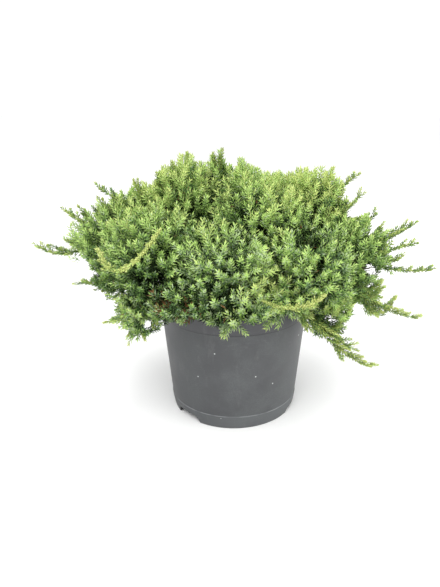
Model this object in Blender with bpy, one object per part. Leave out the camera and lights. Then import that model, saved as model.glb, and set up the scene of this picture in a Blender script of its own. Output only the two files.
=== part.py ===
"""Japanese garden juniper, a low spreading conifer, growing in a round nursery pot.

The model is in metres with +Z up. The origin is the middle of the pot's underside. The front of
the plant looks along -Y, and an azimuth is counted in degrees from that front towards +X.
"""

import collections
import math

import bmesh
import bpy
import numpy as np
from mathutils.bvhtree import BVHTree

SEED = 11
GAP = 0.0003
UP = np.array((0.0, 0.0, 1.0))
GOLDEN_TURN = math.pi * (3.0 - math.sqrt(5.0))

# Pot: a thin moulded wall that widens upwards, with a foot, a rim band and drainage
POT_HEIGHT = 0.140
POT_FOOT_RADIUS = 0.0728
POT_FOOT_HEIGHT = 0.016
POT_SHOULDER_RADIUS = 0.0752
POT_BAND_RADIUS = 0.0848
POT_BAND_HEIGHT = 0.121
POT_RIM_RADIUS = 0.0872
POT_STEP = 0.0008
POT_WALL = 0.0019
POT_LIP = 0.0030
POT_FLOOR = 0.0020
POT_RAISED_FLOOR = 0.0048
POT_PAD_RADIUS = 0.027
POT_SIDES = 40
NOTCH_AZIMUTHS = (-50.0, 70.0, 190.0)
NOTCH_WIDTH = 0.034
NOTCH_HEIGHT = 0.0044
DRAIN_COUNT = 6
DRAIN_RADIUS = 0.0055
DRAIN_RING = 0.047
DRAIN_TURN = 34.0

# Compost that fills the pot
SOIL_TOP = 0.1285
SOIL_FLAT_RADIUS = 0.020
SOIL_SIDES = 24
SOIL_BUMP = 0.0022

# Trunk: a short leaning stem with a root flare, cut flat where it meets the compost
TRUNK_HEIGHT = 0.043
TRUNK_LEAN = np.array((0.06, 0.04, 1.0))
TRUNK_SIDES = 12
TRUNK_PROFILE = (
    (0.00, 0.0165),
    (0.07, 0.0130),
    (0.20, 0.0106),
    (0.45, 0.0096),
    (0.75, 0.0090),
    (0.92, 0.0070),
    (1.00, 0.0036),
)

# Boughs: where each tier leaves the trunk, how steeply, and how thick the limbs are
TIER_START = {"crest": 0.035, "shoulder": 0.0255, "skirt": 0.0150}
TIER_RISE = {"crest": 70.0, "shoulder": 40.0, "skirt": 20.0}
TIER_GUIDE = {"crest": 0.180, "shoulder": 0.172, "skirt": 0.172}
GUIDE_SHARE = 0.60
BOUGH_ROOT_RADIUS = 0.0027
BOUGH_TIP_RADIUS = 0.0017
BOUGH_SIDES = 5
BOUGH_STEPS = 6
LIMB_STEPS = 6
SLIDE_STEPS = 30

Limb = collections.namedtuple("Limb", "path radii surface")

# Masses of foliage: azimuth, reach from the axis, height, and the radii across and up
Mass = collections.namedtuple("Mass", "name azimuth reach height across rise sprays")
MASSES = (
    Mass("crest_left", -92, 0.055, 0.240, 0.050, 0.056, 17),
    Mass("crest_middle", -170, 0.020, 0.244, 0.047, 0.055, 15),
    Mass("crest_front", 32, 0.052, 0.225, 0.055, 0.052, 17),
    Mass("crest_right", 100, 0.084, 0.231, 0.055, 0.051, 17),
    Mass("crest_back_left", -148, 0.082, 0.222, 0.056, 0.050, 13),
    Mass("crest_back_right", 148, 0.090, 0.220, 0.056, 0.050, 13),
    Mass("shoulder_front", -8, 0.090, 0.193, 0.055, 0.050, 17),
    Mass("shoulder_front_right", 42, 0.102, 0.191, 0.055, 0.049, 17),
    Mass("shoulder_right", 84, 0.122, 0.192, 0.055, 0.048, 15),
    Mass("shoulder_back_right", 124, 0.126, 0.186, 0.055, 0.048, 12),
    Mass("shoulder_back", 172, 0.126, 0.184, 0.055, 0.048, 12),
    Mass("shoulder_back_left", -140, 0.126, 0.188, 0.054, 0.048, 12),
    Mass("shoulder_left_back", -107, 0.112, 0.214, 0.052, 0.046, 14),
    Mass("shoulder_left", -82, 0.124, 0.202, 0.053, 0.048, 15),
    Mass("shoulder_front_left", -48, 0.104, 0.203, 0.054, 0.050, 17),
    Mass("skirt_front", 3, 0.108, 0.161, 0.044, 0.039, 13),
    Mass("skirt_front_right", 29, 0.108, 0.158, 0.042, 0.037, 13),
    Mass("skirt_right_low", 53, 0.114, 0.142, 0.038, 0.031, 10),
    Mass("skirt_right", 90, 0.128, 0.148, 0.045, 0.037, 12),
    Mass("skirt_back_right", 126, 0.126, 0.149, 0.050, 0.038, 11),
    Mass("skirt_back", 160, 0.124, 0.147, 0.050, 0.038, 11),
    Mass("skirt_back_left", -164, 0.124, 0.149, 0.050, 0.038, 11),
    Mass("skirt_left_back", -126, 0.126, 0.153, 0.050, 0.038, 11),
    Mass("skirt_left", -86, 0.124, 0.160, 0.041, 0.034, 12),
    Mass("skirt_left_low", -51, 0.120, 0.148, 0.033, 0.033, 10),
    Mass("skirt_front_left", -23, 0.108, 0.161, 0.044, 0.040, 13),
)
HEART = np.array((0.0, 0.0, 0.150))
FAR = 1.0
CORE_SHARE = 0.70
CORE_ROUGHNESS = 0.05
CORE_TUFT = 1.26
CORE_TUFT_EVERY = 3
CORE_POINTS = 56
CORE_CROWDING = 1.45
CAP_DEGREES = 112.0
STEM_RADIUS = 0.0013

# Sprays: two whorls of three teeth on a slim core, rooted deep in their mass
SPRAY_RADIUS = 0.0068
SPRAY_ROOT_RADIUS = 0.0018
SPRAY_LIFT = 0.50
SPRAY_JITTER = 0.16
SPRAY_REACH = (0.92, 1.08)
SMALLEST_SPRAY = 0.016

# Whips: long young shoots that stand out of the outline, each to the place of its tip
Whip = collections.namedtuple("Whip", "mass azimuth reach height bow fullness")
WHIPS = (
    Whip("shoulder_left", -90, 0.2243, 0.1945, -0.015, 1.0),
    Whip("shoulder_left", -91, 0.1910, 0.2345, 0.000, 1.1),
    Whip("shoulder_left", -86, 0.1840, 0.2100, 0.000, 1.3),
    Whip("shoulder_left_back", -104, 0.1650, 0.2570, -0.004, 1.2),
    Whip("skirt_left", -77, 0.1750, 0.1660, -0.004, 1.0),
    Whip("skirt_left_low", -53, 0.1330, 0.1130, 0.000, 1.5),
    Whip("skirt_left_low", -58, 0.1470, 0.1270, 0.000, 1.3),
    Whip("crest_right", 102, 0.1420, 0.2710, -0.006, 1.1),
    Whip("crest_right", 90, 0.1395, 0.2550, -0.006, 1.1),
    Whip("shoulder_right", 97, 0.1665, 0.2290, -0.004, 1.3),
    Whip("shoulder_right", 90, 0.2015, 0.2180, -0.008, 1.4),
    Whip("shoulder_right", 84, 0.1985, 0.2000, -0.006, 1.3),
    Whip("skirt_right", 90, 0.2300, 0.1660, 0.008, 1.3),
    Whip("skirt_right", 79, 0.2100, 0.1230, 0.000, 1.5),
    Whip("skirt_right_low", 69, 0.1676, 0.0750, -0.030, 1.8),
    Whip("shoulder_front_left", -36, 0.1740, 0.2060, -0.014, 1.0),
    Whip("skirt_front_right", 25, 0.1600, 0.1740, -0.010, 1.0),
    Whip("skirt_front", -3, 0.1220, 0.1320, 0.000, 1.4),
    Whip("shoulder_back_right", 128, 0.2090, 0.2240, -0.006, 1.3),
    Whip("shoulder_back", 168, 0.2080, 0.2020, -0.010, 1.2),
    Whip("shoulder_back_left", -138, 0.2040, 0.2160, -0.008, 1.2),
    Whip("skirt_back", 158, 0.1940, 0.1180, 0.010, 1.4),
    Whip("skirt_back_left", -158, 0.1900, 0.1400, 0.004, 1.3),
    Whip("crest_back_right", 146, 0.1520, 0.2700, -0.004, 1.0),
)
WHIP_RADIUS = 0.0011
WHIP_STEPS = 5
WHIP_SPRAY_SPACING = 0.018
WHIP_SPRAY_LENGTH = 0.014
WHIP_SPRAY_RADIUS = 0.0034
WHIP_LEAN = 0.60


def polar(azimuth, reach, height):
    """The point at an azimuth in degrees from the front, a reach from the axis and a height."""
    turn = math.radians(azimuth)
    return np.array((reach * math.sin(turn), -reach * math.cos(turn), height))


def unit(vector):
    return vector / np.linalg.norm(vector)


def across(direction):
    """Two unit vectors square to a direction and to each other."""
    helper = UP if abs(direction[2]) < 0.9 else np.array((1.0, 0.0, 0.0))
    side = unit(np.cross(direction, helper))
    return side, np.cross(direction, side)


def material(name, colour, roughness):
    made = bpy.data.materials.new(name)
    made.use_nodes = True
    shader = made.node_tree.nodes["Principled BSDF"]
    shader.inputs["Base Color"].default_value = (*colour, 1.0)
    shader.inputs["Roughness"].default_value = roughness
    shader.inputs["Metallic"].default_value = 0.0
    made.diffuse_color = (*colour, 1.0)
    return made


def new_object(name, points, faces, finish, smooth=False):
    """A mesh object from arrays of points and faces, its faces turned outwards."""
    mesh = bpy.data.meshes.new(name)
    mesh.from_pydata([tuple(p) for p in points], [], faces)
    shape = bmesh.new()
    shape.from_mesh(mesh)
    bmesh.ops.remove_doubles(shape, verts=shape.verts, dist=1e-7)
    bmesh.ops.recalc_face_normals(shape, faces=shape.faces)
    shape.to_mesh(mesh)
    shape.free()
    mesh.materials.append(finish)
    if smooth:
        mesh.shade_smooth()
        mesh.set_sharp_from_angle(angle=math.radians(40))
    made = bpy.data.objects.new(name, mesh)
    bpy.context.scene.collection.objects.link(made)
    return made


def ring_points(centre, direction, radius, sides, turn=0.0):
    side, other = across(direction)
    angles = [turn + 2 * math.pi * k / sides for k in range(sides)]
    return [centre + radius * (math.cos(a) * side + math.sin(a) * other) for a in angles]


def bridge(lower, upper, sides):
    """Quads between two rings whose first points have these indices."""
    turned = [(k + 1) % sides for k in range(sides)]
    return [(lower + k, lower + n, upper + n, upper + k) for k, n in enumerate(turned)]


def tube(path, radii, sides):
    """A closed tapering limb along a path, with a flat cap on each end."""
    points, faces = [], [tuple(range(sides))]
    for step, (centre, radius) in enumerate(zip(path, radii)):
        before, after = path[max(step - 1, 0)], path[min(step + 1, len(path) - 1)]
        points += ring_points(centre, unit(after - before), radius, sides)
        if step:
            faces += bridge((step - 1) * sides, step * sides, sides)
    last = (len(path) - 1) * sides
    faces.append(tuple(range(last + sides - 1, last - 1, -1)))
    return points, faces


def surface_of(shape):
    """A search tree of a shape's faces."""
    points, faces = shape
    return BVHTree.FromPolygons([tuple(p) for p in points], faces)


def slide_up_to(surface, ring, direction):
    """How far a ring of points moves in a direction until it is one clearance off a surface."""
    moved = 0.0
    for _ in range(SLIDE_STEPS):
        nearest = min(surface.find_nearest(tuple(p + direction * moved))[3] for p in ring)
        moved += nearest - GAP
    return moved


def turned_profile(profile, sides):
    """A closed body of revolution from a line of (radius, height) that starts and ends on the axis."""
    points, faces = [], []
    for radius, height in profile:
        points += ring_points(np.array((0.0, 0.0, height)), UP, radius, sides)
    for step in range(len(profile) - 1):
        faces += bridge(step * sides, (step + 1) * sides, sides)
    return points, faces


def bezier(start, leave, arrive, end, steps):
    """Points of a cubic curve, both ends included."""
    t = np.linspace(0.0, 1.0, steps + 1)[:, None]
    s = 1.0 - t
    return s**3 * start + 3 * s * s * t * leave + 3 * s * t * t * arrive + t**3 * end


# Pot and compost


def pot_wall_radius(height):
    """The pot's outer radius at a height, by its foot, its wall and its rim band."""
    heights = (0.0, POT_FOOT_HEIGHT, POT_BAND_HEIGHT, POT_HEIGHT)
    radii = (POT_FOOT_RADIUS, POT_SHOULDER_RADIUS, POT_BAND_RADIUS, POT_RIM_RADIUS)
    return float(np.interp(height, heights, radii))


def pot_profile():
    """The pot's section: out under the floor, up the outside, over the lip and down the inside."""
    foot, top = POT_FOOT_HEIGHT, POT_HEIGHT
    inner_floor = POT_RAISED_FLOOR + POT_FLOOR
    under = [
        (0.0, 0.0),
        (POT_PAD_RADIUS + POT_FLOOR, 0.0),
        (POT_PAD_RADIUS + POT_FLOOR + POT_RAISED_FLOOR, POT_RAISED_FLOOR),
        (POT_FOOT_RADIUS - 2 * POT_WALL, POT_RAISED_FLOOR),
        (POT_FOOT_RADIUS - POT_WALL, 0.0),
    ]
    outside = [
        (POT_FOOT_RADIUS, 0.0),
        (POT_SHOULDER_RADIUS, foot),
        (POT_SHOULDER_RADIUS - POT_STEP / 2, foot + POT_STEP),
        (POT_BAND_RADIUS - POT_STEP, POT_BAND_HEIGHT - POT_STEP),
        (POT_BAND_RADIUS, POT_BAND_HEIGHT),
        (POT_RIM_RADIUS, top - POT_LIP / 2),
        (POT_RIM_RADIUS - POT_LIP / 4, top),
    ]
    inside = [
        (POT_RIM_RADIUS - POT_LIP, top),
        (pot_wall_radius(POT_BAND_HEIGHT) - POT_STEP - POT_WALL, POT_BAND_HEIGHT),
        (POT_SHOULDER_RADIUS - POT_WALL, inner_floor + POT_WALL),
        (POT_SHOULDER_RADIUS - 2 * POT_WALL, inner_floor),
        (POT_PAD_RADIUS + POT_RAISED_FLOOR, inner_floor),
        (POT_PAD_RADIUS, POT_FLOOR),
        (0.0, POT_FLOOR),
    ]
    return under + outside + inside


def cutter(name, points, faces, finish):
    """A hidden tool for a Boolean cut."""
    tool = new_object(name, points, faces, finish)
    tool.hide_render = True
    tool.display_type = "WIRE"
    return tool


def upright_prism(centre, sides, radius, low, high):
    path = [np.array((centre[0], centre[1], z)) for z in (low, high)]
    return tube(path, (radius, radius), sides)


def notch_block(azimuth):
    """A block across the foot at an azimuth, from outside the wall to inside the foot."""
    out, aside = polar(azimuth, 1.0, 0.0), polar(azimuth + 90, 1.0, 0.0)
    near, far = POT_FOOT_RADIUS - 3 * POT_WALL, POT_FOOT_RADIUS + 4 * POT_WALL
    points = [
        out * reach + aside * (half * NOTCH_WIDTH) + UP * height
        for height in (-NOTCH_HEIGHT, NOTCH_HEIGHT)
        for reach, half in ((near, -0.5), (far, -0.5), (far, 0.5), (near, 0.5))
    ]
    faces = [(3, 2, 1, 0), (4, 5, 6, 7)] + bridge(0, 4, 4)
    return points, faces


def build_pot(plastic):
    pot = new_object("pot", *turned_profile(pot_profile(), POT_SIDES), plastic, smooth=True)
    tools = [(f"notch_{k}", notch_block(a)) for k, a in enumerate(NOTCH_AZIMUTHS)]
    for k in range(DRAIN_COUNT):
        centre = polar(DRAIN_TURN + 360 * k / DRAIN_COUNT, DRAIN_RING, 0.0)
        high = 2 * (POT_RAISED_FLOOR + POT_FLOOR)
        tools.append((f"drain_{k}", upright_prism(centre, 8, DRAIN_RADIUS, 0.0, high)))
    for name, shape in tools:
        cut = pot.modifiers.new(name, "BOOLEAN")
        cut.operation = "DIFFERENCE"
        cut.solver = "EXACT"
        cut.object = cutter("cut_" + name, *shape, plastic)
    return pot


def build_soil(compost, rng):
    """The compost, one clearance inside the pot, uneven on top but flat under the trunk."""
    floor = POT_RAISED_FLOOR + POT_FLOOR + GAP
    wall = POT_SHOULDER_RADIUS - POT_WALL - 2 * GAP
    at_top = np.interp(
        SOIL_TOP,
        (POT_FOOT_HEIGHT, POT_BAND_HEIGHT, POT_HEIGHT),
        (wall, POT_BAND_RADIUS - POT_STEP - POT_WALL - 2 * GAP, POT_RIM_RADIUS - POT_LIP - 2 * GAP),
    )
    profile = [
        (0.0, floor),
        (wall - 2 * POT_WALL, floor),
        (wall, floor + 2 * POT_WALL),
        (POT_BAND_RADIUS - POT_STEP - POT_WALL - 2 * GAP, POT_BAND_HEIGHT),
        (at_top, SOIL_TOP - 0.002),
        (0.75 * at_top, SOIL_TOP),
        (0.50 * at_top, SOIL_TOP),
        (SOIL_FLAT_RADIUS, SOIL_TOP),
        (0.0, SOIL_TOP),
    ]
    points, faces = turned_profile(profile, SOIL_SIDES)
    for point in points:
        if point[2] > SOIL_TOP - 1e-6 and math.hypot(point[0], point[1]) > SOIL_FLAT_RADIUS + 1e-4:
            point[2] += rng.uniform(-SOIL_BUMP, SOIL_BUMP)
    return new_object("root_ball", points, faces, compost)


# Trunk and boughs


def trunk_centre(share):
    return np.array((0.0, 0.0, SOIL_TOP + GAP)) + TRUNK_LEAN * TRUNK_HEIGHT * share


def trunk_radius(share):
    shares, radii = zip(*TRUNK_PROFILE)
    return float(np.interp(share, shares, radii))


def trunk_shape(rng):
    """The trunk with level rings, so its foot is a flat cut, and shallow flutes in its flare."""
    points, faces = [], [tuple(range(TRUNK_SIDES - 1, -1, -1))]
    flutes = rng.uniform(0.88, 1.06, TRUNK_SIDES)
    for step, (share, radius) in enumerate(TRUNK_PROFILE):
        depth = max(0.0, 1.0 - share / 0.30)
        ring = ring_points(trunk_centre(share), UP, 1.0, TRUNK_SIDES)
        for k, point in enumerate(ring):
            spread = radius * (1.0 + depth * (flutes[k] - 1.0))
            points.append(trunk_centre(share) + (point - trunk_centre(share)) * spread)
        if step:
            faces += bridge((step - 1) * TRUNK_SIDES, step * TRUNK_SIDES, TRUNK_SIDES)
    last = (len(TRUNK_PROFILE) - 1) * TRUNK_SIDES
    faces.append(tuple(range(last, last + TRUNK_SIDES)))
    return points, faces


def tier_of(mass):
    return mass.name.split("_")[0]


def node_of(mass):
    return "foliage_" + mass.name


def centre_of(mass):
    return polar(mass.azimuth, mass.reach, mass.height)


def start_azimuths():
    """Boughs of one tier leave the trunk evenly spaced, in the order of their masses."""
    found = {}
    for tier in TIER_START:
        members = sorted((m for m in MASSES if tier_of(m) == tier), key=lambda m: m.azimuth)
        step = 360.0 / len(members)
        shift = np.mean([m.azimuth - k * step for k, m in enumerate(members)])
        found.update({m.name: shift + k * step for k, m in enumerate(members)})
    return found


def bough_path(mass, start_azimuth, trunk_surface):
    """A limb that leaves the trunk at its tier's rise and swings into the inner side of its mass."""
    tier = tier_of(mass)
    share = TIER_START[tier] / TRUNK_HEIGHT
    rise = math.radians(TIER_RISE[tier])
    out = polar(start_azimuth, 1.0, 0.0)
    leave = out * math.cos(rise) + UP * math.sin(rise)
    away = trunk_centre(share) + out * 3 * trunk_radius(share)
    ring = ring_points(away, leave, BOUGH_ROOT_RADIUS, BOUGH_SIDES)
    start = away - out * slide_up_to(trunk_surface, ring, -out)
    centre = centre_of(mass)
    onward = unit(centre - polar(mass.azimuth, GUIDE_SHARE * mass.reach, TIER_GUIDE[tier]))
    end = centre - onward * mass.across * 0.78
    length = np.linalg.norm(end - start)
    arrive = end - onward * length * 0.30
    return bezier(start, start + leave * length * 0.38, arrive, end, BOUGH_STEPS)


def bough_radii():
    return np.linspace(BOUGH_ROOT_RADIUS, BOUGH_TIP_RADIUS, BOUGH_STEPS + 1)


# Spaces: each mass keeps inside flat planes, so whatever has all its points inside is clear


def pot_plane(centre):
    """A plane that touches the pot's rim and leans towards the mass."""
    out = unit(np.array((centre[0], centre[1], 0.0)))
    rim = out * POT_RIM_RADIUS + UP * POT_HEIGHT
    normal = unit(rim - centre)
    lean = math.atan2(-normal[2], -(normal @ out))
    lean = min(max(lean, math.radians(4)), math.radians(90))
    normal = -(out * math.cos(lean) + UP * math.sin(lean))
    return normal, (rim - centre) @ normal - 2 * GAP


def finely(points, radii):
    """Points and radii along a limb at close and even steps, both of its ends included."""
    for k in range(len(points) - 1):
        for share in np.linspace(0.0, 1.0, LIMB_STEPS, endpoint=False):
            yield points[k] * (1 - share) + points[k + 1] * share, max(radii[k], radii[k + 1])
    yield points[-1], radii[-1]


def space_of(mass, limbs):
    """Planes as (outward normal, distance from the mass's centre) that bound the mass's space."""
    centre = centre_of(mass)
    planes = [pot_plane(centre)]
    for other in MASSES:
        if other.name == mass.name:
            continue
        between = centre_of(other) - centre
        apart = np.linalg.norm(between)
        towards = between / apart
        own, others = radius_towards(mass, towards), radius_towards(other, towards)
        planes.append((towards, apart * own / (own + others) - GAP / 2))
    for limb in limbs.values():
        for point, radius in finely(limb.path, limb.radii):
            apart = np.linalg.norm(point - centre)
            planes.append(((point - centre) / apart, apart - radius - GAP))
    normals = np.array([normal for normal, _ in planes])
    reaches = np.array([reach for _, reach in planes])
    return centre, normals, reaches


def inside(points, space):
    centre, normals, reaches = space
    return bool(((np.asarray(points) - centre) @ normals.T <= reaches).all())


def clear_reach(direction, space):
    """How far the space goes from its centre in a direction."""
    _, normals, reaches = space
    facing = normals @ direction
    ahead = facing > 1e-6
    if not ahead.any():
        return FAR
    return float((reaches[ahead] / facing[ahead]).min())


def radius_towards(mass, direction):
    """The mass's own radius in a direction, by its half-axes across and up."""
    flat = math.hypot(direction[0], direction[1]) / mass.across
    return 1.0 / math.hypot(flat, direction[2] / mass.rise)


# Foliage


def core_mesh(mass, space, rng):
    """The dense middle of a mass: a tufted ball, crowded outwards and pressed flat by its space."""
    centre = space[0]
    outward = unit(centre - HEART)
    side, other = across(outward)
    shape = bmesh.new()
    for k in range(CORE_POINTS):
        angle = math.pi * (math.acos(1.0 - 2.0 * (k + 0.5) / CORE_POINTS) / math.pi) ** CORE_CROWDING
        turn = k * GOLDEN_TURN
        round_about = math.cos(turn) * side + math.sin(turn) * other
        shape.verts.new(math.cos(angle) * outward + math.sin(angle) * round_about)
    bmesh.ops.convex_hull(shape, input=shape.verts)
    points = []
    for k, vertex in enumerate(shape.verts):
        direction = unit(np.array(vertex.co))
        wanted = radius_towards(mass, direction) * CORE_SHARE
        wanted *= 1.0 + rng.uniform(-CORE_ROUGHNESS, CORE_ROUGHNESS)
        if k % CORE_TUFT_EVERY == 0 and direction @ outward > 0:
            wanted *= CORE_TUFT
        points.append(centre + direction * min(wanted, 0.99 * clear_reach(direction, space)))
    shape.verts.index_update()
    faces = [tuple(v.index for v in face.verts) for face in shape.faces]
    shape.free()
    return points, faces


def spray_mesh(root, tip, radius, turn):
    """A spray: a root sunk in its mass, two whorls of three forward teeth, and a tip."""
    axis, length = unit(tip - root), np.linalg.norm(tip - root)
    sixth = math.pi / 3
    rings = (
        (0.00, SPRAY_ROOT_RADIUS, 0.0),
        (0.66, radius, 0.0),
        (0.55, 0.30 * radius, sixth),
        (0.88, 0.62 * radius, sixth),
    )
    points, faces = [], [(2, 1, 0)]
    for step, (share, size, twist) in enumerate(rings):
        points += ring_points(root + axis * length * share, axis, size, 3, turn + twist)
        low, high = 3 * step - 3, 3 * step
        if step == 2:
            for k in range(3):
                following = (k + 1) % 3
                faces.append((low + k, low + following, high + k))
                faces.append((low + following, high + following, high + k))
        elif step:
            faces += bridge(low, high, 3)
    points.append(tip)
    faces += [(9 + k, 9 + (k + 1) % 3, 12) for k in range(3)]
    return points, faces


def bud_mesh(root, tip, radius, turn):
    """A small spray of a whip: one whorl of three forward teeth and a tip."""
    axis, length = unit(tip - root), np.linalg.norm(tip - root)
    points = ring_points(root, axis, 0.4 * radius, 3, turn)
    points += ring_points(root + axis * length * 0.58, axis, radius, 3, turn)
    points.append(tip)
    faces = [(2, 1, 0)] + bridge(0, 3, 3) + [(3 + k, 3 + (k + 1) % 3, 6) for k in range(3)]
    return points, faces


def spray_directions(mass, count):
    """Directions spread evenly over the side of the mass that faces away from the plant's heart."""
    outward = unit(centre_of(mass) - HEART)
    side, other = across(outward)
    lowest = math.cos(math.radians(CAP_DEGREES))
    for k in range(count):
        level = 1.0 - (k + 0.5) / count * (1.0 - lowest)
        ring = math.sqrt(1.0 - level * level)
        turn = k * GOLDEN_TURN
        yield outward * level + ring * (math.cos(turn) * side + math.sin(turn) * other)


def mass_sprays(mass, space, rng):
    """The sprays of a mass. One that would leave the space is shortened, then skipped."""
    found = []
    for k, direction in enumerate(spray_directions(mass, mass.sprays)):
        full = radius_towards(mass, direction)
        root = space[0] + direction * min(full, clear_reach(direction, space)) * CORE_SHARE * 0.5
        lifted = unit(direction + SPRAY_LIFT * UP + rng.normal(0.0, SPRAY_JITTER, 3))
        end = space[0] + unit(direction + 0.4 * lifted) * full * rng.uniform(*SPRAY_REACH)
        tip = end + UP * full * 0.10
        turn = rng.uniform(0.0, 2 * math.pi)
        form = bud_mesh if k % 2 else spray_mesh
        for share in (1.0, 0.85, 0.72, 0.60):
            short = root + (tip - root) * share
            shape = form(root, short, SPRAY_RADIUS * (0.5 + 0.5 * share), turn)
            if np.linalg.norm(short - root) < SMALLEST_SPRAY:
                break
            if inside(shape[0], space):
                found.append(shape)
                break
    return found


def whip_path(mass, whip):
    """A curve from inside the mass to the whip's tip, bowed up or down in the middle."""
    start = centre_of(mass)
    end = polar(whip.azimuth, whip.reach, whip.height)
    middle = start + (end - start) * 0.55 + UP * whip.bow
    t = np.linspace(0.0, 1.0, WHIP_STEPS + 1)[:, None]
    return (1 - t) ** 2 * start + 2 * t * (1 - t) * middle + t**2 * end


def whip_shapes(mass, whip, space, rng):
    """The whip's shoot and the small sprays that stand out of it on alternate sides."""
    path = whip_path(mass, whip)
    radii = np.linspace(WHIP_RADIUS * 1.5, WHIP_RADIUS * 0.5, WHIP_STEPS + 1)
    shoot = tube(path, radii, 3)
    if not inside(shoot[0], space):
        print("whip of", mass.name, "at azimuth", whip.azimuth, "leaves its space")
        return []
    steps = np.linalg.norm(np.diff(path, axis=0), axis=1)
    along = np.concatenate([[0.0], np.cumsum(steps)])
    found = [shoot]
    place, side_sign, at_tip = along[-1], 1.0, True
    while place > 0.70 * mass.across:
        point = np.array([np.interp(place, along, path[:, k]) for k in range(3)])
        before = np.array([np.interp(place - 0.004, along, path[:, k]) for k in range(3)])
        heading = unit(point - before)
        lean = 0.0 if at_tip else WHIP_LEAN
        turned = unit(heading + lean * side_sign * across(heading)[0] + 0.6 * lean * UP)
        length = WHIP_SPRAY_LENGTH * whip.fullness
        root = point - heading * (length if at_tip else WHIP_RADIUS)
        tip = root + turned * length
        shape = bud_mesh(root, tip, WHIP_SPRAY_RADIUS * whip.fullness, rng.uniform(0.0, 2.0))
        if inside(shape[0], space):
            found.append(shape)
        side_sign, at_tip = -side_sign, False
        place -= WHIP_SPRAY_SPACING / whip.fullness
    return found


def fuse(name, shapes, finish):
    """One solid from overlapping shapes: a union on a collection, kept to its outer body."""
    base = new_object(name, *shapes[0], finish)
    parts = bpy.data.collections.new(name + "_parts")
    bpy.context.scene.collection.children.link(parts)
    for k, shape in enumerate(shapes[1:]):
        piece = new_object(f"{name}_piece_{k}", *shape, finish)
        bpy.context.scene.collection.objects.unlink(piece)
        parts.objects.link(piece)
    union = base.modifiers.new("join", "BOOLEAN")
    union.operation = "UNION"
    union.operand_type = "COLLECTION"
    union.collection = parts
    union.solver = "EXACT"
    graph = bpy.context.evaluated_depsgraph_get()
    joined = bpy.data.meshes.new_from_object(base.evaluated_get(graph))
    base.modifiers.clear()
    for piece in list(parts.objects):
        bpy.data.objects.remove(piece)
    bpy.data.collections.remove(parts)
    keep_outer_body(joined)
    joined.name = name
    base.data = joined
    return base


def keep_outer_body(mesh):
    """Drops loose scraps and sealed hollows, which leaves the body with the most faces."""
    shape = bmesh.new()
    shape.from_mesh(mesh)
    bmesh.ops.triangulate(shape, faces=shape.faces)
    waiting, bodies = set(shape.verts), []
    while waiting:
        stack, body = [waiting.pop()], []
        while stack:
            vertex = stack.pop()
            body.append(vertex)
            near = {edge.other_vert(vertex) for edge in vertex.link_edges} & waiting
            waiting -= near
            stack += near
        bodies.append(body)
    bodies.sort(key=len)
    for body in bodies[:-1]:
        bmesh.ops.delete(shape, geom=body, context="VERTS")
    shape.to_mesh(mesh)
    shape.free()


def build_mass(mass, limbs, leaf, rng):
    """One mass of foliage: its stem from the bough's tip, its core, its sprays and its whips."""
    space = space_of(mass, limbs)
    bough = limbs[mass.name]
    inward = unit(bough.path[-1] - space[0])
    ring = ring_points(space[0], inward, STEM_RADIUS, 3)
    foot = space[0] + inward * slide_up_to(bough.surface, ring, inward)
    stem = tube([foot, space[0]], (STEM_RADIUS, STEM_RADIUS * 1.4), 3)
    shapes = [core_mesh(mass, space, rng), stem]
    shapes += mass_sprays(mass, space, rng)
    for whip in WHIPS:
        if whip.mass == mass.name:
            shapes += whip_shapes(mass, whip, space, rng)
    return fuse(node_of(mass), shapes, leaf)


def build_limbs(bark, rng):
    """The trunk and every bough, and the path, radii and surface of each by name."""
    shape = trunk_shape(rng)
    new_object("trunk", *shape, bark, smooth=True)
    shares = np.linspace(0.0, 1.0, 5)
    middle, girth = [trunk_centre(s) for s in shares], [trunk_radius(s) for s in shares]
    limbs = {"trunk": Limb(middle, girth, surface_of(shape))}
    starts = start_azimuths()
    for mass in MASSES:
        path = bough_path(mass, starts[mass.name], limbs["trunk"].surface)
        shape = tube(path, bough_radii(), BOUGH_SIDES)
        new_object("bough_" + mass.name, *shape, bark, smooth=True)
        limbs[mass.name] = Limb(path, bough_radii(), surface_of(shape))
    return limbs


def clear_scene():
    for thing in list(bpy.data.objects):
        bpy.data.objects.remove(thing)


def main():
    clear_scene()
    rng = np.random.default_rng(SEED)
    plastic = material("pot plastic", (0.105, 0.110, 0.115), 0.55)
    compost = material("compost", (0.045, 0.030, 0.020), 0.95)
    bark = material("bark", (0.165, 0.095, 0.055), 0.85)
    leaf = material("needles", (0.150, 0.290, 0.070), 0.60)
    build_pot(plastic)
    build_soil(compost, rng)
    limbs = build_limbs(bark, rng)
    for mass in MASSES:
        build_mass(mass, limbs, leaf, rng)


main()
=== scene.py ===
import math
from collections import namedtuple

import bpy
import numpy as np
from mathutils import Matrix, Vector
from mathutils.kdtree import KDTree


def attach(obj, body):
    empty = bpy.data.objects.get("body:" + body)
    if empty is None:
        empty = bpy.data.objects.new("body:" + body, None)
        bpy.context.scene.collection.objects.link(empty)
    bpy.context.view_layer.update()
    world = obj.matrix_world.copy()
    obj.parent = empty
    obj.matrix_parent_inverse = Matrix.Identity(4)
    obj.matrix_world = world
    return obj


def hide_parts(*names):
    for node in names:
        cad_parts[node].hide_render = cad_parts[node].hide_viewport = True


# A potted garden juniper. Everything is in metres with the origin under the middle of the pot,
# the front along -Y, and an azimuth counted in degrees from that front towards +X.
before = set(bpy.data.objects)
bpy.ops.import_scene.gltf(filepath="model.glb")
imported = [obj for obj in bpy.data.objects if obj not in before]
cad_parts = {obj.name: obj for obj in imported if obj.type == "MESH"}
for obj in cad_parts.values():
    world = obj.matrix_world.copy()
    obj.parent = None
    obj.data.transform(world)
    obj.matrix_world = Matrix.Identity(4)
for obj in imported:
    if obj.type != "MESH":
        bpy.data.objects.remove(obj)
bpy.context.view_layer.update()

skyward = np.array((0.0, 0.0, 1.0))
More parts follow.
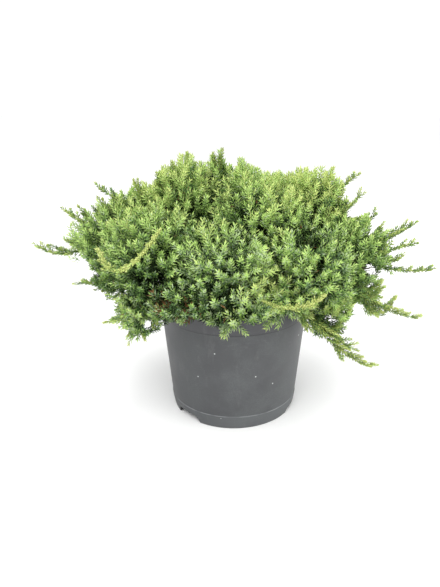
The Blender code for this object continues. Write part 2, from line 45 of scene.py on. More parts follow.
goldenTurn = math.pi * (3.0 - math.sqrt(5.0))


def polar(azimuth, reach, height):  # the point at an azimuth, a reach from the axis and a height
    turn = math.radians(azimuth)
    return np.array((reach * math.sin(turn), -reach * math.cos(turn), height))


def unit(vectors):  # each vector over its own length
    return vectors / np.linalg.norm(vectors, axis=-1, keepdims=True)


def acrossOf(directions):  # two unit vectors square to each direction and to each other
    steep = np.abs(directions[..., 2:]) > 0.9
    helper = np.where(steep, np.array((1.0, 0.0, 0.0)), skyward)
    side = unit(np.cross(directions, helper))
    return side, np.cross(directions, side)


def blend(share, first, second):  # first at share 0, second at share 1, straight between
    return first + (second - first) * share


# Shader maths: a Python expression on these adds its nodes


class Link:
    def __init__(self, tree, socket=None):
        self.tree, self.socket = tree, socket

    def add(self, kind, settings, values, out=0):
        # a node of any kind: its settings first, then the value or link of each socket
        node = self.tree.nodes.new(kind)
        for name, value in settings.items():
            setattr(node, name, value)
        for name, value in values.items():
            if isinstance(value, Link):
                self.tree.links.new(value.socket, node.inputs[name])
            else:
                node.inputs[name].default_value = value
        return Link(self.tree, node.outputs[out])

    def maths(self, operation, first, second=0.0):
        return self.add("ShaderNodeMath", {"operation": operation}, {0: first, 1: second})

    def __add__(self, other):
        return self.maths("ADD", self, other)

    def __radd__(self, other):
        return self.maths("ADD", other, self)

    def __sub__(self, other):
        return self.maths("SUBTRACT", self, other)

    def __rsub__(self, other):
        return self.maths("SUBTRACT", other, self)

    def __mul__(self, other):
        return self.maths("MULTIPLY", self, other)

    def between(self, low, high):  # 0 below low, 1 above high, smooth between
        ranged = {"interpolation_type": "SMOOTHSTEP"}
        limits = {"Value": self, "From Min": low, "From Max": high}
        return self.add("ShaderNodeMapRange", ranged, limits)

    def below(self, low, high):  # 1 below low, 0 above high, smooth between
        return 1.0 - self.between(low, high)

    def near(self, place, full, none):  # 1 within full of a place, 0 beyond none from it
        return self.maths("ABSOLUTE", self - place).below(full, none)

    def noise(self, where, scale, detail=3.0, roughness=0.5):
        values = {"Vector": where, "Scale": scale, "Detail": detail, "Roughness": roughness}
        return self.add("ShaderNodeTexNoise", {}, values)

    def distance(self, where, place):
        found = {0: where, 1: tuple(float(v) for v in place)}
        return self.add("ShaderNodeVectorMath", {"operation": "DISTANCE"}, found, out=1)

    def stretched(self, where, x, y, z):  # coordinates scaled along each axis
        return self.add("ShaderNodeMapping", {}, {"Vector": where, "Scale": (x, y, z)})

    def colours(self, share, first, second):  # first where share is 0, second where it is 1
        values = {0: share}
        for place, colour in ((6, first), (7, second)):
            values[place] = colour if isinstance(colour, Link) else (*colour, 1.0)
        return self.add("ShaderNodeMix", {"data_type": "RGBA"}, values, out=2)


def newFinish(name, values):  # a Principled material, and the start of its expressions
    made = bpy.data.materials.new(name)
    made.use_nodes = True
    shader = made.node_tree.nodes["Principled BSDF"]
    for socket, value in values.items():
        shader.inputs[socket].default_value = value
    return made, shader, Link(made.node_tree)


def feed(shader, socket, link):  # a link into one of the shader's sockets
    link.tree.links.new(link.socket, shader.inputs[socket])


def roughen(shader, height, strength, distance):  # bumps by the height that a link gives
    values = {"Strength": strength, "Distance": distance, "Height": height}
    feed(shader, "Normal", height.add("ShaderNodeBump", {}, values))


def places(link):  # the object's own coordinates, in metres
    return link.add("ShaderNodeTexCoord", {}, {}, out=3)


def coordinate(link, where, axis):  # 0 for x, 2 for the height
    return link.add("ShaderNodeSeparateXYZ", {}, {0: where}, out=axis)


def addMesh(name, points, faces, finish, smooth=False, sharpAbove=40.0):
    # a mesh from an array of points and an array of faces that all have as many corners
    points = np.ascontiguousarray(points, dtype=np.float32).reshape(-1, 3)
    faces = np.ascontiguousarray(faces, dtype=np.int32)
    mesh = bpy.data.meshes.new(name)
    mesh.vertices.add(len(points))
    mesh.vertices.foreach_set("co", points.ravel())
    mesh.loops.add(faces.size)
    mesh.loops.foreach_set("vertex_index", faces.ravel())
    mesh.polygons.add(len(faces))
    starts = np.arange(0, faces.size, faces.shape[1], dtype=np.int32)
    mesh.polygons.foreach_set("loop_start", starts)
    mesh.update(calc_edges=True)
    mesh.materials.append(finish)
    if smooth:
        mesh.shade_smooth()
        mesh.set_sharp_from_angle(angle=math.radians(sharpAbove))
    made = bpy.data.objects.new(name, mesh)
    bpy.context.scene.collection.objects.link(made)
    return made


def gridFaces(rows, columns):
    # quads between neighbouring rows of a grid whose columns close on themselves
    row, column = np.meshgrid(np.arange(rows - 1), np.arange(columns), indexing="ij")
    here, there = row * columns, (column + 1) % columns
    corners = (here + column, here + there, here + columns + there, here + columns + column)
    return np.stack(corners, -1).reshape(-1, 4)


def fanFaces(centre, first, count):  # triangles from one point to a closed ring of points
    k = np.arange(count)
    return np.stack((np.full(count, centre), first + k, first + (k + 1) % count), -1)


def fourByFour(corners, count):  # the same triangles over each next four points, count times
    return (np.array(corners)[None] + 4 * np.arange(count)[:, None, None]).reshape(-1, 3)


def tubeMesh(paths, radii, sides, pointed=0.02):
    # tubes along many paths at once, closed almost to a point at both ends: a ring of the radius
    # at every step, square to the path there. paths is (tubes, steps, 3), radii (tubes, steps).
    tubes, steps, _ = paths.shape
    heading = unit(np.gradient(paths, axis=1))
    side, other = acrossOf(heading)
    turns = 2 * math.pi * np.arange(sides) / sides
    spread = np.array(radii)
    spread[:, (0, -1)] *= pointed
    ring = side[:, :, None] * np.cos(turns)[:, None] + other[:, :, None] * np.sin(turns)[:, None]
    points = paths[:, :, None] + ring * spread[:, :, None, None]
    one = gridFaces(steps, sides)[:, ::-1]
    faces = one[None] + (np.arange(tubes) * steps * sides)[:, None, None]
    return points.reshape(-1, 3), faces.reshape(-1, 4)


# Pot: a turned section with a foot, a sloping wall and a rim band, notched at the foot. The foot,
# band and rim are each a radius and a height, a notch is its azimuth, width and height, and its
# ramps are the lengths of its left and right ends.

potShape = {
    "foot": (0.0733, 0.016),
    "shoulder": 0.0757,
    "band": (0.0854, 0.121),
    "rim": (0.0878, 0.140),
    "step": 0.0008,
    "wall": 0.0019,
    "lip": 0.0030,
    "floor": 0.0020,
    "raisedFloor": 0.0082,
    "pad": 0.027,
    "notches": ((-45.7, 0.0350, 0.0084), (70.0, 0.0340, 0.0044), (190.0, 0.0340, 0.0044)),
    "notchRamps": (0.0016, 0.0062),
    "drains": 6,
    "drainRadius": 0.0055,
    "drainRing": 0.047,
    "drainTurn": 34.0,
    "columns": 288,
    "longest": 0.006,  # straight run of the section without a point
    "sharpAbove": 35.0,
}


def potWallRadius(height):  # outer radius, straight between foot, shoulder, band and rim
    shape = potShape
    heights = (0.0, shape["foot"][1], shape["band"][1], shape["rim"][1])
    radii = (shape["foot"][0], shape["shoulder"], shape["band"][0], shape["rim"][0])
    return np.interp(height, heights, radii)


def roundedLine(corners, steps=4):
    # a section line whose corners (radius, height, fillet) are rounded by a quadratic arc
    line = []
    for k, (radius, height, fillet) in enumerate(corners):
        corner = np.array((radius, height))
        if not fillet or k in (0, len(corners) - 1):
            line.append(corner)
            continue
        before = np.array(corners[k - 1][:2]) - corner
        after = np.array(corners[k + 1][:2]) - corner
        enter = corner + before * min(0.45, fillet / np.linalg.norm(before))
        leave = corner + after * min(0.45, fillet / np.linalg.norm(after))
        t = np.linspace(0.0, 1.0, steps + 1)[:, None]
        line += list((1 - t) ** 2 * enter + 2 * t * (1 - t) * corner + t**2 * leave)
    return np.array(line)


def potSection():
    # the half section by its corners (radius, height, fillet): underside, outside and inside
    shape = potShape
    footRadius, footHeight = shape["foot"]
    bandRadius, bandHeight = shape["band"]
    rimRadius, top = shape["rim"]
    step, wall, lip = shape["step"], shape["wall"], shape["lip"]
    raised, pad = shape["raisedFloor"], shape["pad"]
    floor = raised + shape["floor"]
    low = [
        (0.0004, 0.0, 0),
        (pad + shape["floor"], 0.0, 0.0008),
        (pad + shape["floor"] + raised, raised, 0.0010),
        (footRadius - 2 * wall, raised, 0.0010),
        (footRadius - wall, 0.0, 0.0004),
        (footRadius - 0.0002, 0.0, 0.0006),
    ]
    outer = [
        (footRadius + 0.0016, footHeight * 0.55, 0.0060),
        (shape["shoulder"], footHeight - 0.0004, 0.0006),
        (shape["shoulder"] - step / 2, footHeight + step, 0.0005),
        (bandRadius - step, bandHeight - 0.0012, 0.0004),
        (bandRadius - step * 0.9, bandHeight - 0.0002, 0.0003),
        (bandRadius + 0.0002, bandHeight + 0.0002, 0.0006),
        (rimRadius, top - lip * 0.4, 0.0012),
        (rimRadius - lip * 0.45, top, 0.0008),
    ]
    inner = [
        (rimRadius - lip, top - 0.0008, 0.0008),
        (bandRadius - step - wall, bandHeight, 0.0010),
        (shape["shoulder"] - wall, floor + wall, 0.0010),
        (shape["shoulder"] - 2 * wall, floor, 0.0008),
        (pad + raised, floor, 0.0010),
        (pad, shape["floor"], 0.0010),
        (0.0004, shape["floor"], 0),
    ]
    section = roundedLine(low + outer + inner)
    # long straight runs get points between, so that the shading stays even
    fine = [section[0]]
    for here, there in zip(section[:-1], section[1:]):
        parts = max(1, int(np.linalg.norm(there - here) / shape["longest"]))
        fine += [blend(k / parts, here, there) for k in range(1, parts + 1)]
    return np.array(fine)


def notchLift(turns, heights):
    # how far a point of the foot is raised: the notch's level there less the point's own height.
    # The level is the notch's height * the way in from its nearer end / the ramp's length there.
    shape = potShape
    lift = np.zeros(np.broadcast(turns, heights).shape)
    for azimuth, width, top in shape["notches"]:
        apart = np.angle(np.exp(1j * (turns - math.radians(azimuth)))) * shape["foot"][0]
        steep, slow = shape["notchRamps"]
        share = np.minimum((width / 2 + apart) / steep, (width / 2 - apart) / slow)
        level = top * np.clip(share, 0.0, 1.0)
        lift = np.maximum(lift, np.maximum(level - heights, 0.0))
    return lift


def buildPot(finish):
    # point(turn, k) = (r_k sin turn, -r_k cos turn, z_k + notch lift)
    shape = potShape
    section, columns = potSection(), shape["columns"]
    turns = 2 * math.pi * np.arange(columns) / columns
    radius, height = section[:, :1], section[:, 1:]
    onFoot = radius > shape["foot"][0] - 2 * shape["wall"] - 0.0005
    height = height + notchLift(turns[None], height) * onFoot
    points = np.stack((radius * np.sin(turns), -radius * np.cos(turns), height), -1)
    middles = [(0.0, 0.0, section[end, 1]) for end in (0, -1)]
    points = np.vstack((points.reshape(-1, 3), middles))
    under = fanFaces(len(points) - 2, 0, columns)[:, (0, 2, 1)]
    over = fanFaces(len(points) - 1, (len(section) - 1) * columns, columns)
    faces = gridFaces(len(section), columns).tolist() + under.tolist() + over.tolist()
    mesh = bpy.data.meshes.new("pot_turned")
    mesh.from_pydata(points, [], faces)
    pot = bpy.data.objects.new("pot_turned", mesh)
    bpy.context.scene.collection.objects.link(pot)
    mesh.materials.append(finish)
    for d in range(shape["drains"]):
        centre = polar(shape["drainTurn"] + 360 * d / shape["drains"], shape["drainRing"], 0.0)
        path = np.array([[centre + skyward * z for z in (-0.004, -0.0039, 0.0119, 0.012)]])
        tool = addMesh("drain", *tubeMesh(path, np.full((1, 4), shape["drainRadius"]), 20), finish)
        cut = pot.modifiers.new("drain", "BOOLEAN")
        cut.operation, cut.solver, cut.object = "DIFFERENCE", "EXACT", tool
    graph = bpy.context.evaluated_depsgraph_get()
    whole = bpy.data.meshes.new_from_object(pot.evaluated_get(graph))
    for cut in list(pot.modifiers):
        tool = cut.object
        pot.modifiers.remove(cut)
        bpy.data.objects.remove(tool)
    pot.data = whole
    whole.name = "pot_turned"
    whole.shade_smooth()
    whole.set_sharp_from_angle(angle=math.radians(shape["sharpAbove"]))
    return pot


# Placed specks on the wall: azimuth, reach, height and radius; the last is the nub by the line
potSpecks = (
    (-14.3, 0.0828, 0.0978, 0.0010),
    (-29.6, 0.0797, 0.0646, 0.0009),
    (17.2, 0.0801, 0.0683, 0.0010),
    (33.2, 0.0787, 0.0540, 0.0010),
    (61.6, 0.0830, 0.1009, 0.0010),
    (-11.1, 0.0749, 0.0140, 0.0010),
)
# The plastic's two tones, and the colour and strength of each layer over them; the left, step and
# notch layers are painted shade
potLook = {
    "fresh": (0.0530, 0.0550, 0.0590),
    "faded": (0.0810, 0.0870, 0.0895),
    "grain": ((0.048, 0.050, 0.053), 0.46),
    "foot": ((0.100, 0.108, 0.112), 0.50),
    # painted shade on the left side of the pot
    "left": ((0.036, 0.038, 0.041), 0.55),
    "band": ((0.044, 0.042, 0.049), 0.42),
    # painted shadow: the dark line under the band
    "step": ((0.022, 0.023, 0.025), 0.8),
    "rubbed": ((0.265, 0.270, 0.268), 0.16),
    "line": ((0.40, 0.42, 0.43), 0.27),
    "scratch": ((0.36, 0.365, 0.36), 0.06),
    "specks": ((0.50, 0.52, 0.51), 1.0),
    # painted shade: the near-black corner of the notch's hollow
    "notch": ((0.010, 0.010, 0.011), 1.0),
    "roughness": 0.46,
}


def plasticFinish():
    # clouds between the two tones, then each layer by its mask * its strength
    made, shader, at = newFinish("moulded pot plastic", {"Metallic": 0.0})
    where = places(at)
    height, across = coordinate(at, where, 2), coordinate(at, where, 0)
    cloudy = at.noise(where, 26.0, 5.0, 0.62).between(0.35, 0.68)
    rubbed = at.noise(at.stretched(where, 60.0, 60.0, 22.0), 1.0, 5.0, 0.7).between(0.55, 0.78)
    broken = at.noise(where, 70.0, 3.0).between(0.36, 0.55)
    # fine scratches: thin crests of a stretched noise
    thread = at.noise(at.stretched(where, 24.0, 24.0, 110.0), 1.0, 2.0)
    scratch = thread.near(0.5, 0.0, 0.006) * broken
    # specks of splashed lime, some scattered and some placed
    cells = at.add("ShaderNodeTexVoronoi", {}, {"Vector": where, "Scale": 62.0, "Randomness": 1.0})
    specks = cells.below(0.030, 0.055) * at.noise(where, 47.0, 1.0).between(0.60, 0.64)
    for azimuth, reach, level, radius in potSpecks:
        away = at.distance(where, polar(azimuth, reach, level))
        specks = specks + away.below(radius / 2, radius)
    layers = {
        "grain": at.noise(where, 900.0, 2.0).between(0.3, 0.7),
        "foot": height.below(0.0140, 0.0170),
        "left": across.below(-0.070, 0.005),  # painted shade: darker towards the left side
        "band": height.between(0.1205, 0.1215),
        "step": height.near(0.1206, 0.0004, 0.0014),  # painted shadow under the band
        "rubbed": rubbed,  # dust and rub marks, stretched along the wall
        "line": height.near(0.0163, 0.0001, 0.0008) * (0.35 + broken * 0.65),  # worn pale
        "scratch": scratch,
        "specks": specks,
        # painted shade: near-black in the corner of the notch's hollow
        "notch": across.near(-0.0585, 0.0050, 0.0065) * height.below(0.0066, 0.0076),
    }
    body = at.colours(cloudy, potLook["fresh"], potLook["faded"])
    for name, share in layers.items():
        colour, strength = potLook[name]
        body = at.colours(share * strength, body, colour)
    feed(shader, "Base Color", body)
    feed(shader, "Roughness", potLook["roughness"] + cloudy * 0.12 + rubbed * 0.12)
    bumps = at.noise(where, 420.0, 3.0) * 0.6 + cloudy * 0.4 - scratch * 0.3
    roughen(shader, bumps, 0.10, 0.0006)
    return made


# Compost: a lumpy disc inside the rim over the plain root ball

compost = {
    "top": 0.1285,
    "reach": 0.0828,
    "rings": 46,
    "columns": 150,
    "heap": 0.0010,  # how high it lies over the root ball
    "edge": 0.006,  # how far its edge goes down into it
    "lump": 0.0016,
    "octaves": 5,
    "waves": 4,
    "firstWave": 160.0,
    "finer": 1.9,  # from one octave to the next
    "fainter": 0.55,
    "grit": 0.0004,
    "wet": (0.016, 0.010, 0.007),
    "dry": (0.085, 0.052, 0.033),
}


def buildCompost(finish, random):
    # point(turn, share) = reach * share out, raised by octaves of waves, each a sine along its own
    # heading, finer and fainter from one octave to the next
    reach, rings, columns = compost["reach"], compost["rings"], compost["columns"]
    share = np.linspace(0.004, 1.0, rings)[:, None]
    turns = 2 * math.pi * np.arange(columns) / columns
    x, y = reach * share * np.sin(turns), -reach * share * np.cos(turns)
    lumps, waves = np.zeros_like(x), compost["waves"]
    for octave in range(compost["octaves"]):
        scale = compost["firstWave"] * compost["finer"] ** octave
        for _ in range(waves):
            heading, phase = random.uniform(0, 2 * math.pi, 2)
            wave = scale * (x * math.cos(heading) + y * math.sin(heading)) + phase
            lumps += np.sin(wave) * compost["fainter"] ** octave / waves
    z = compost["top"] + compost["heap"] + compost["lump"] * lumps
    z = z + random.normal(0, compost["grit"], x.shape)
    z[-1] = compost["top"] - compost["edge"]
    z[0] = z[0].mean()
    points = np.stack((x, y, z), -1)
    return addMesh("compost", points, gridFaces(rings, columns), finish, smooth=True)


def compostFinish():
    made, shader, at = newFinish("bark compost", {"Roughness": 0.95})
    where = places(at)
    lumps = at.noise(where, 260.0, 5.0, 0.7)
    body = at.colours(lumps.between(0.35, 0.7), compost["wet"], compost["dry"])
    feed(shader, "Base Color", body)
    roughen(shader, lumps, 0.8, 0.001)
    return made


# Trunk and boughs: the limbs of the frame, with bark relief, carried on into each mass. The
# profile is the trunk's radius at shares of its height. Per tier: how high boughs leave the trunk,
# their rise in degrees, and the height of the guide point that they bend by.

limbs = {
    "foot": 0.1288,
    "height": 0.043,
    "lean": (0.06, 0.04, 1.0),
    "profile": (
        (0, 0.0165), (0.07, 0.0130), (0.20, 0.0106), (0.45, 0.0096), (0.75, 0.0090), (0.92, 0.0070),
        (1, 0.0036),
    ),
    "start": {"crest": 0.035, "shoulder": 0.0255, "skirt": 0.0150},
    "rise": {"crest": 70.0, "shoulder": 40.0, "skirt": 20.0},
    "guide": {"crest": 0.180, "shoulder": 0.172, "skirt": 0.172},
    "guideShare": 0.60,
    "rootRadius": 0.0027,
    "tipRadius": 0.0017,
    "innerRadius": 0.0009,
    "trunkBark": (56, 7, 0.075, 1.0),  # sides, ridges, depth and twist
    "boughBark": (12, 3, 0.09, 1.4),
    "bark": ((0.060, 0.034, 0.022), (0.205, 0.135, 0.085)),
    "lichen": (0.19, 0.165, 0.135),
}

# Masses: name, place, half-widths across and up, number of plumes, glow (partly painted light and
# shade) and blueness
massRows = (
    ("crest_left", -92, 0.055, 0.240, 0.050, 0.056, 46, 0.36, 0.08),
    ("crest_middle", -170, 0.020, 0.244, 0.047, 0.055, 42, 0.15, 0.20),
    ("crest_front", 32, 0.052, 0.225, 0.055, 0.052, 46, 0.20, 0.20),
    ("crest_right", 100, 0.084, 0.231, 0.055, 0.051, 46, 0.40, 0.08),
    ("crest_back_left", -148, 0.082, 0.222, 0.056, 0.050, 42, 0.08, 0.10),
    ("crest_back_right", 148, 0.090, 0.220, 0.056, 0.050, 42, 0.08, 0.10),
    ("shoulder_front", -8, 0.090, 0.193, 0.055, 0.050, 46, 0.08, 0.42),
    ("shoulder_front_right", 42, 0.102, 0.191, 0.055, 0.049, 46, 0.02, 0.28),
    ("shoulder_right", 84, 0.122, 0.192, 0.055, 0.048, 42, 0.02, 0.08),
    ("shoulder_back_right", 124, 0.126, 0.186, 0.055, 0.048, 38, 0.04, 0.20),
    ("shoulder_back", 172, 0.126, 0.184, 0.055, 0.048, 38, 0.04, 0.20),
    ("shoulder_back_left", -140, 0.126, 0.188, 0.054, 0.048, 38, 0.04, 0.20),
    ("shoulder_left_back", -107, 0.112, 0.214, 0.052, 0.046, 38, 0.08, 0.15),
    ("shoulder_left", -82, 0.124, 0.202, 0.053, 0.048, 42, 0.08, 0.15),
    ("shoulder_front_left", -48, 0.104, 0.203, 0.054, 0.050, 46, 0.06, 0.16),
    ("skirt_front", 3, 0.108, 0.161, 0.044, 0.039, 32, 0.26, 0.60),
    ("skirt_front_right", 29, 0.108, 0.158, 0.042, 0.037, 32, 0.36, 0.44),
    ("skirt_right_low", 53, 0.114, 0.142, 0.038, 0.031, 26, 0.10, 0.20),
    ("skirt_right", 90, 0.128, 0.148, 0.045, 0.037, 30, 0.04, 0.16),
    ("skirt_back_right", 126, 0.126, 0.149, 0.050, 0.038, 30, 0.00, 0.25),
    ("skirt_back", 160, 0.124, 0.147, 0.050, 0.038, 30, 0.00, 0.25),
    ("skirt_back_left", -164, 0.124, 0.149, 0.050, 0.038, 30, 0.00, 0.25),
    ("skirt_left_back", -126, 0.126, 0.153, 0.050, 0.038, 30, 0.00, 0.25),
    ("skirt_left", -86, 0.124, 0.160, 0.041, 0.034, 26, -0.26, 0.35),
    ("skirt_left_low", -51, 0.120, 0.148, 0.033, 0.033, 24, 0.04, 0.50),
    ("skirt_front_left", -23, 0.108, 0.161, 0.044, 0.040, 30, -0.12, 0.40),
)
Mass = namedtuple("Mass", "name azimuth reach height wide tall plumes glow blue")
masses = [Mass(*row) for row in massRows]


def centreOf(mass):  # the point in its middle
    return polar(mass.azimuth, mass.reach, mass.height)


def tierOf(mass):  # crest, shoulder or skirt
    return mass.name.split("_")[0]


def trunkCentre(share):  # foot + lean * height * share
    return np.array((0.0, 0.0, limbs["foot"])) + np.array(limbs["lean"]) * limbs["height"] * share


def trunkRadius(share):  # straight between the profile's rows
    return float(np.interp(share, *zip(*limbs["profile"])))


def startAzimuths():  # boughs of one tier leave the trunk evenly spaced, in order
    found = {}
    for tier in limbs["start"]:
        members = sorted((m for m in masses if tierOf(m) == tier), key=lambda m: m.azimuth)
        step = 360.0 / len(members)
        shift = np.mean([m.azimuth - k * step for k, m in enumerate(members)])
        found.update({m.name: shift + k * step for k, m in enumerate(members)})
    return found


def boughPath(mass, startAzimuth, steps=22):
    # cubic curve: off the trunk at the tier's rise, and in towards the mass from its guide point
    tier = tierOf(mass)
    share, rise = limbs["start"][tier] / limbs["height"], math.radians(limbs["rise"][tier])
    out = polar(startAzimuth, 1.0, 0.0)
    leave = out * math.cos(rise) + skyward * math.sin(rise)
    start = trunkCentre(share) + out * trunkRadius(share) * 0.75
    centre = centreOf(mass)
    guide = polar(mass.azimuth, limbs["guideShare"] * mass.reach, limbs["guide"][tier])
    onward = unit(centre - guide)
    end = centre - onward * mass.wide * 0.78
    length = np.linalg.norm(end - start)
    arrive = end - onward * length * 0.30
    t = np.linspace(0.0, 1.0, steps + 1)[:, None]
    s = 1.0 - t
    curve = s**3 * start + 3 * s * s * t * (start + leave * length * 0.38)
    return curve + 3 * s * t * t * arrive + t**3 * end


def barkTube(path, radii, sides, ridges, depth, twist, random):
    # point(turn, k) = path_k + radius_k * (1 + depth * ridge waves that twist along the limb),
    # as triangles, with a fan over each end
    heading = unit(np.gradient(path, axis=0))
    side, other = acrossOf(heading)
    turns = 2 * math.pi * np.arange(sides) / sides
    along = np.linspace(0.0, 1.0, len(path))[:, None]
    phase = random.uniform(0, 2 * math.pi, 4)
    wander = 1.3 * np.sin(along * 23 + phase[1])
    waves = np.sin(ridges * turns + twist * along * 9 + phase[0] + wander)
    waves = waves * 0.6 + 0.4 * np.sin((2 * ridges + 1) * turns - twist * along * 6 + phase[2])
    rough = random.normal(0, depth * 0.25, (len(path), sides))
    spread = radii[:, None] * (1 + depth * waves + rough)
    ring = side[:, None] * np.cos(turns)[:, None] + other[:, None] * np.sin(turns)[:, None]
    points = path[:, None] + ring * spread[..., None]
    points = np.vstack((points.reshape(-1, 3), path[:1], path[-1:]))
    sheet = gridFaces(len(path), sides)[:, ::-1]
    foot = fanFaces(len(points) - 2, 0, sides)
    end = fanFaces(len(points) - 1, (len(path) - 1) * sides, sides)[:, (0, 2, 1)]
    return points, np.vstack((sheet[:, (0, 1, 2)], sheet[:, (0, 2, 3)], foot, end))


def joined(shapes):  # many (points, faces) as one
    points, faces, first = [], [], 0
    for somePoints, someFaces in shapes:
        points.append(somePoints)
        faces.append(someFaces + first)
        first += len(somePoints)
    return np.vstack(points), np.vstack(faces)


def buildLimbs(finish, random):
    # the trunk with its flare, and each bough with the stem that it sends into its mass
    shares = np.linspace(0.0, 1.0, 44)
    path = np.array([trunkCentre(s) for s in shares])
    radii = np.array([trunkRadius(s) for s in shares])
    radii = np.convolve(np.pad(radii, 2, mode="edge"), np.ones(5) / 5, mode="valid")
    shapes = [barkTube(path, radii, *limbs["trunkBark"], random)]
    starts, stems, steps = startAzimuths(), {}, 8
    for mass in masses:
        path = boughPath(mass, starts[mass.name])
        centre = centreOf(mass)
        inner = path[-1] + (centre - path[-1]) * np.linspace(0.15, 1.1, steps)[:, None]
        stems[mass.name] = (path[-1], centre)
        radii = np.linspace(limbs["rootRadius"], limbs["tipRadius"], len(path))
        radii = np.concatenate((radii, np.linspace(radii[-1], limbs["innerRadius"], steps)))
        path = np.vstack((path, inner))
        shapes.append(barkTube(path, radii, *limbs["boughBark"], random))
    wood = addMesh("trunk_and_boughs", *joined(shapes), finish, smooth=True, sharpAbove=60.0)
    return wood, stems


def barkFinish():
    made, shader, at = newFinish("flaking bark", {"Roughness": 0.9})
    where = places(at)
    strips = at.noise(at.stretched(where, 420.0, 420.0, 60.0), 1.0, 5.0, 0.65)
    patches = at.noise(where, 55.0, 3.0).between(0.4, 0.65)
    body = at.colours(strips.between(0.35, 0.65), *limbs["bark"])
    body = at.colours(patches * 0.45, body, limbs["lichen"])
    feed(shader, "Base Color", body)
    roughen(shader, strips, 0.7, 0.0007)
    return made


# Shoots: twigs that carry needles. The glow says how bright a shoot's needles are, their own
# tone together with painted light and shade, the gain how much they brighten towards its tip, and
# the blue what share turns blue (or warm, under nought).

foliage = {
    "seed": 23,
    "heart": (0.0, 0.0, 0.150),  # the masses' outer sides face away from it
    "plumes": 0.92,  # share of each mass's number
    "capDegrees": 114.0,  # how far round a mass its outer side goes
    "reach": (0.84, 0.99),  # of plume tips, as shares of the mass's radius
    "root": (0.3, 1.0),  # where leaders start, as shares of the mass's stem
    "sweep": 0.55,  # how early a leader takes its last direction
    "lift": {"crest": 1.10, "shoulder": 1.10, "skirt": 0.60},
    "jitter": 0.12,
    "meanSize": 0.105,
    "glow": 0.54,
    "skyGlow": 0.26,  # painted light: more on tips that face the sky
    "glowSpread": 0.10,
    "tipSpacing": 0.0079,  # between the tips of shoots over the bright gain
    "brightGain": 0.3,
    "plainGain": 0.12,  # shoots under this gain are plain
    "buriedFrom": 0.008,  # painted shade: depth where shoots start to turn dim, and over how much more
    "buriedOver": 0.028,
    "buriedGlow": -0.35,
    "buriedBelow": 0.03,  # how far under the skyline buried shoots turn dim in full
    "buriedLeast": 0.2,  # share of it right under the skyline
    "bareOver": 0.010,  # painted light: depth down to which plain shoots turn lighter
    "bareGlow": 0.34,
    "potClear": 0.0012,
    "floorClear": 0.02,
    "underside": 0.44,  # rise of the hem per reach beyond the rim
    "overTip": 0.0041,  # how far leaders, and other shoots, stay under the skyline
    "overShoot": -0.0003,
}
# A plume's side shoots, from the foot of its green end to its tip, and the forks on its lowest
plumeLook = {
    "greenLength": 0.031,
    "greenFrom": (0.12, 0.72),  # least and most share of the leader
    "lastShare": 0.95,
    "strayShare": 0.02,
    "sides": 7,
    "length": (0.0148, 0.0092),
    "varied": (0.78, 1.18),
    "angle": (57.0, 40.0),
    "raised": 0.10,
    "bend": 0.30,  # on to the leader's heading, and skywards
    "rise": 0.22,
    # painted shade and light: side shoots darker at the plume's foot, lighter at its tip
    "slope": 0.22,
    "glowSpread": 0.05,
    "gain": 0.60,
    "stem": 0.00042,
    "forks": 2,
    "forkPlace": 0.34,
    "forkLength": 0.012168,
    "forkVaried": (0.75, 1.2),
    "forkTurn": 0.7,
    "forkAngle": 44.0,
    "forkRaised": 0.12,
    "forkBend": 0.30,
    "forkGlow": -0.02,
    "forkGain": 0.56,
    "forkStem": 0.00036,
    "leaderStem": 0.0005,
}
# Single shoots over a mass's outer side, and plain ones painted dark as shade through its inner
# part
fillerLook = {
    "count": 120,
    "reach": (0.78, 0.96),
    "jitter": 0.25,
    "varied": (0.75, 1.10),
    "glow": 0.52,
}
innerLook = {
    "count": 104,
    "capDegrees": 178.0,
    "reach": (0.10, 0.72),
    "lift": 0.5,
    "jitter": 0.35,
    "length": 0.018,
    "varied": (0.8, 1.2),
    "glow": (-0.20, 0.12),
    # painted light: the inner shoots of crest masses are lighter
    "crestGlow": 0.14,
    "gain": 0.10,
    "blue": 0.5,  # of the mass's
    "dry": 0.012,
    "stem": 0.0005,
    "needle": 0.0078,
    "whorls": 0.0026,
    "needleAngles": (62.0, 40.0),
    "sag": 0.004,  # by which a gap shows under it
    "over": 0.012,  # how far it stays under the skyline
}
# Needles: each in two halves that meet at its widest share, in whorls along its shoot
needleLook = {
    "length": 0.0061,
    "width": 0.00155,
    "keel": 0.00070,
    "widest": 0.42,
    "shorter": (1.05, 0.82),
    "varied": (0.88, 1.10),
    "whorls": 0.00148,
    "firstWhorl": 0.6,  # in spacings from the shoot's start
    "crowding": 1.15,  # power by which whorls crowd towards the tip
    "turnStray": 0.12,
    "angleStray": 5.0,
    "gainEven": 0.45,  # share along a shoot where its gain changes nothing
    "glowSpread": 0.11,
    # painted light on each needle's tip half, painted shade on its foot half
    "tipGlow": 0.13,
    "footGlow": -0.19,
    "mostHalves": 90000,  # of needles in one piece
}
# The leader's own needles in three lengths: shares of its green end, opening and closing angle,
# change of glow, and gain
leaderRuns = (
    (0.0, 0.40, 54.0, 50.0, -0.18, 0.0),
    (0.40, 0.72, 50.0, 48.0, -0.04, 0.14),
    (0.72, 1.0, 48.0, 26.0, 0.08, 0.36),
)

# How low the skirt hangs round the rim (azimuth, height at the rim), rising outwards from there
hem = (
    (-180, 0.12), (-150, 0.126), (-120, 0.116), (-84, 0.126), (-68, 0.124), (-60, 0.116),
    (-52, 0.1), (-44, 0.108), (-38, 0.122), (-33, 0.136), (-22, 0.138), (-8, 0.135), (-2, 0.134),
    (4, 0.137), (12, 0.141), (22, 0.148), (34, 0.15), (42, 0.146), (50, 0.108), (62, 0.098),
    (74, 0.112), (92, 0.114), (112, 0.112), (134, 0.122), (158, 0.11), (180, 0.12),
)
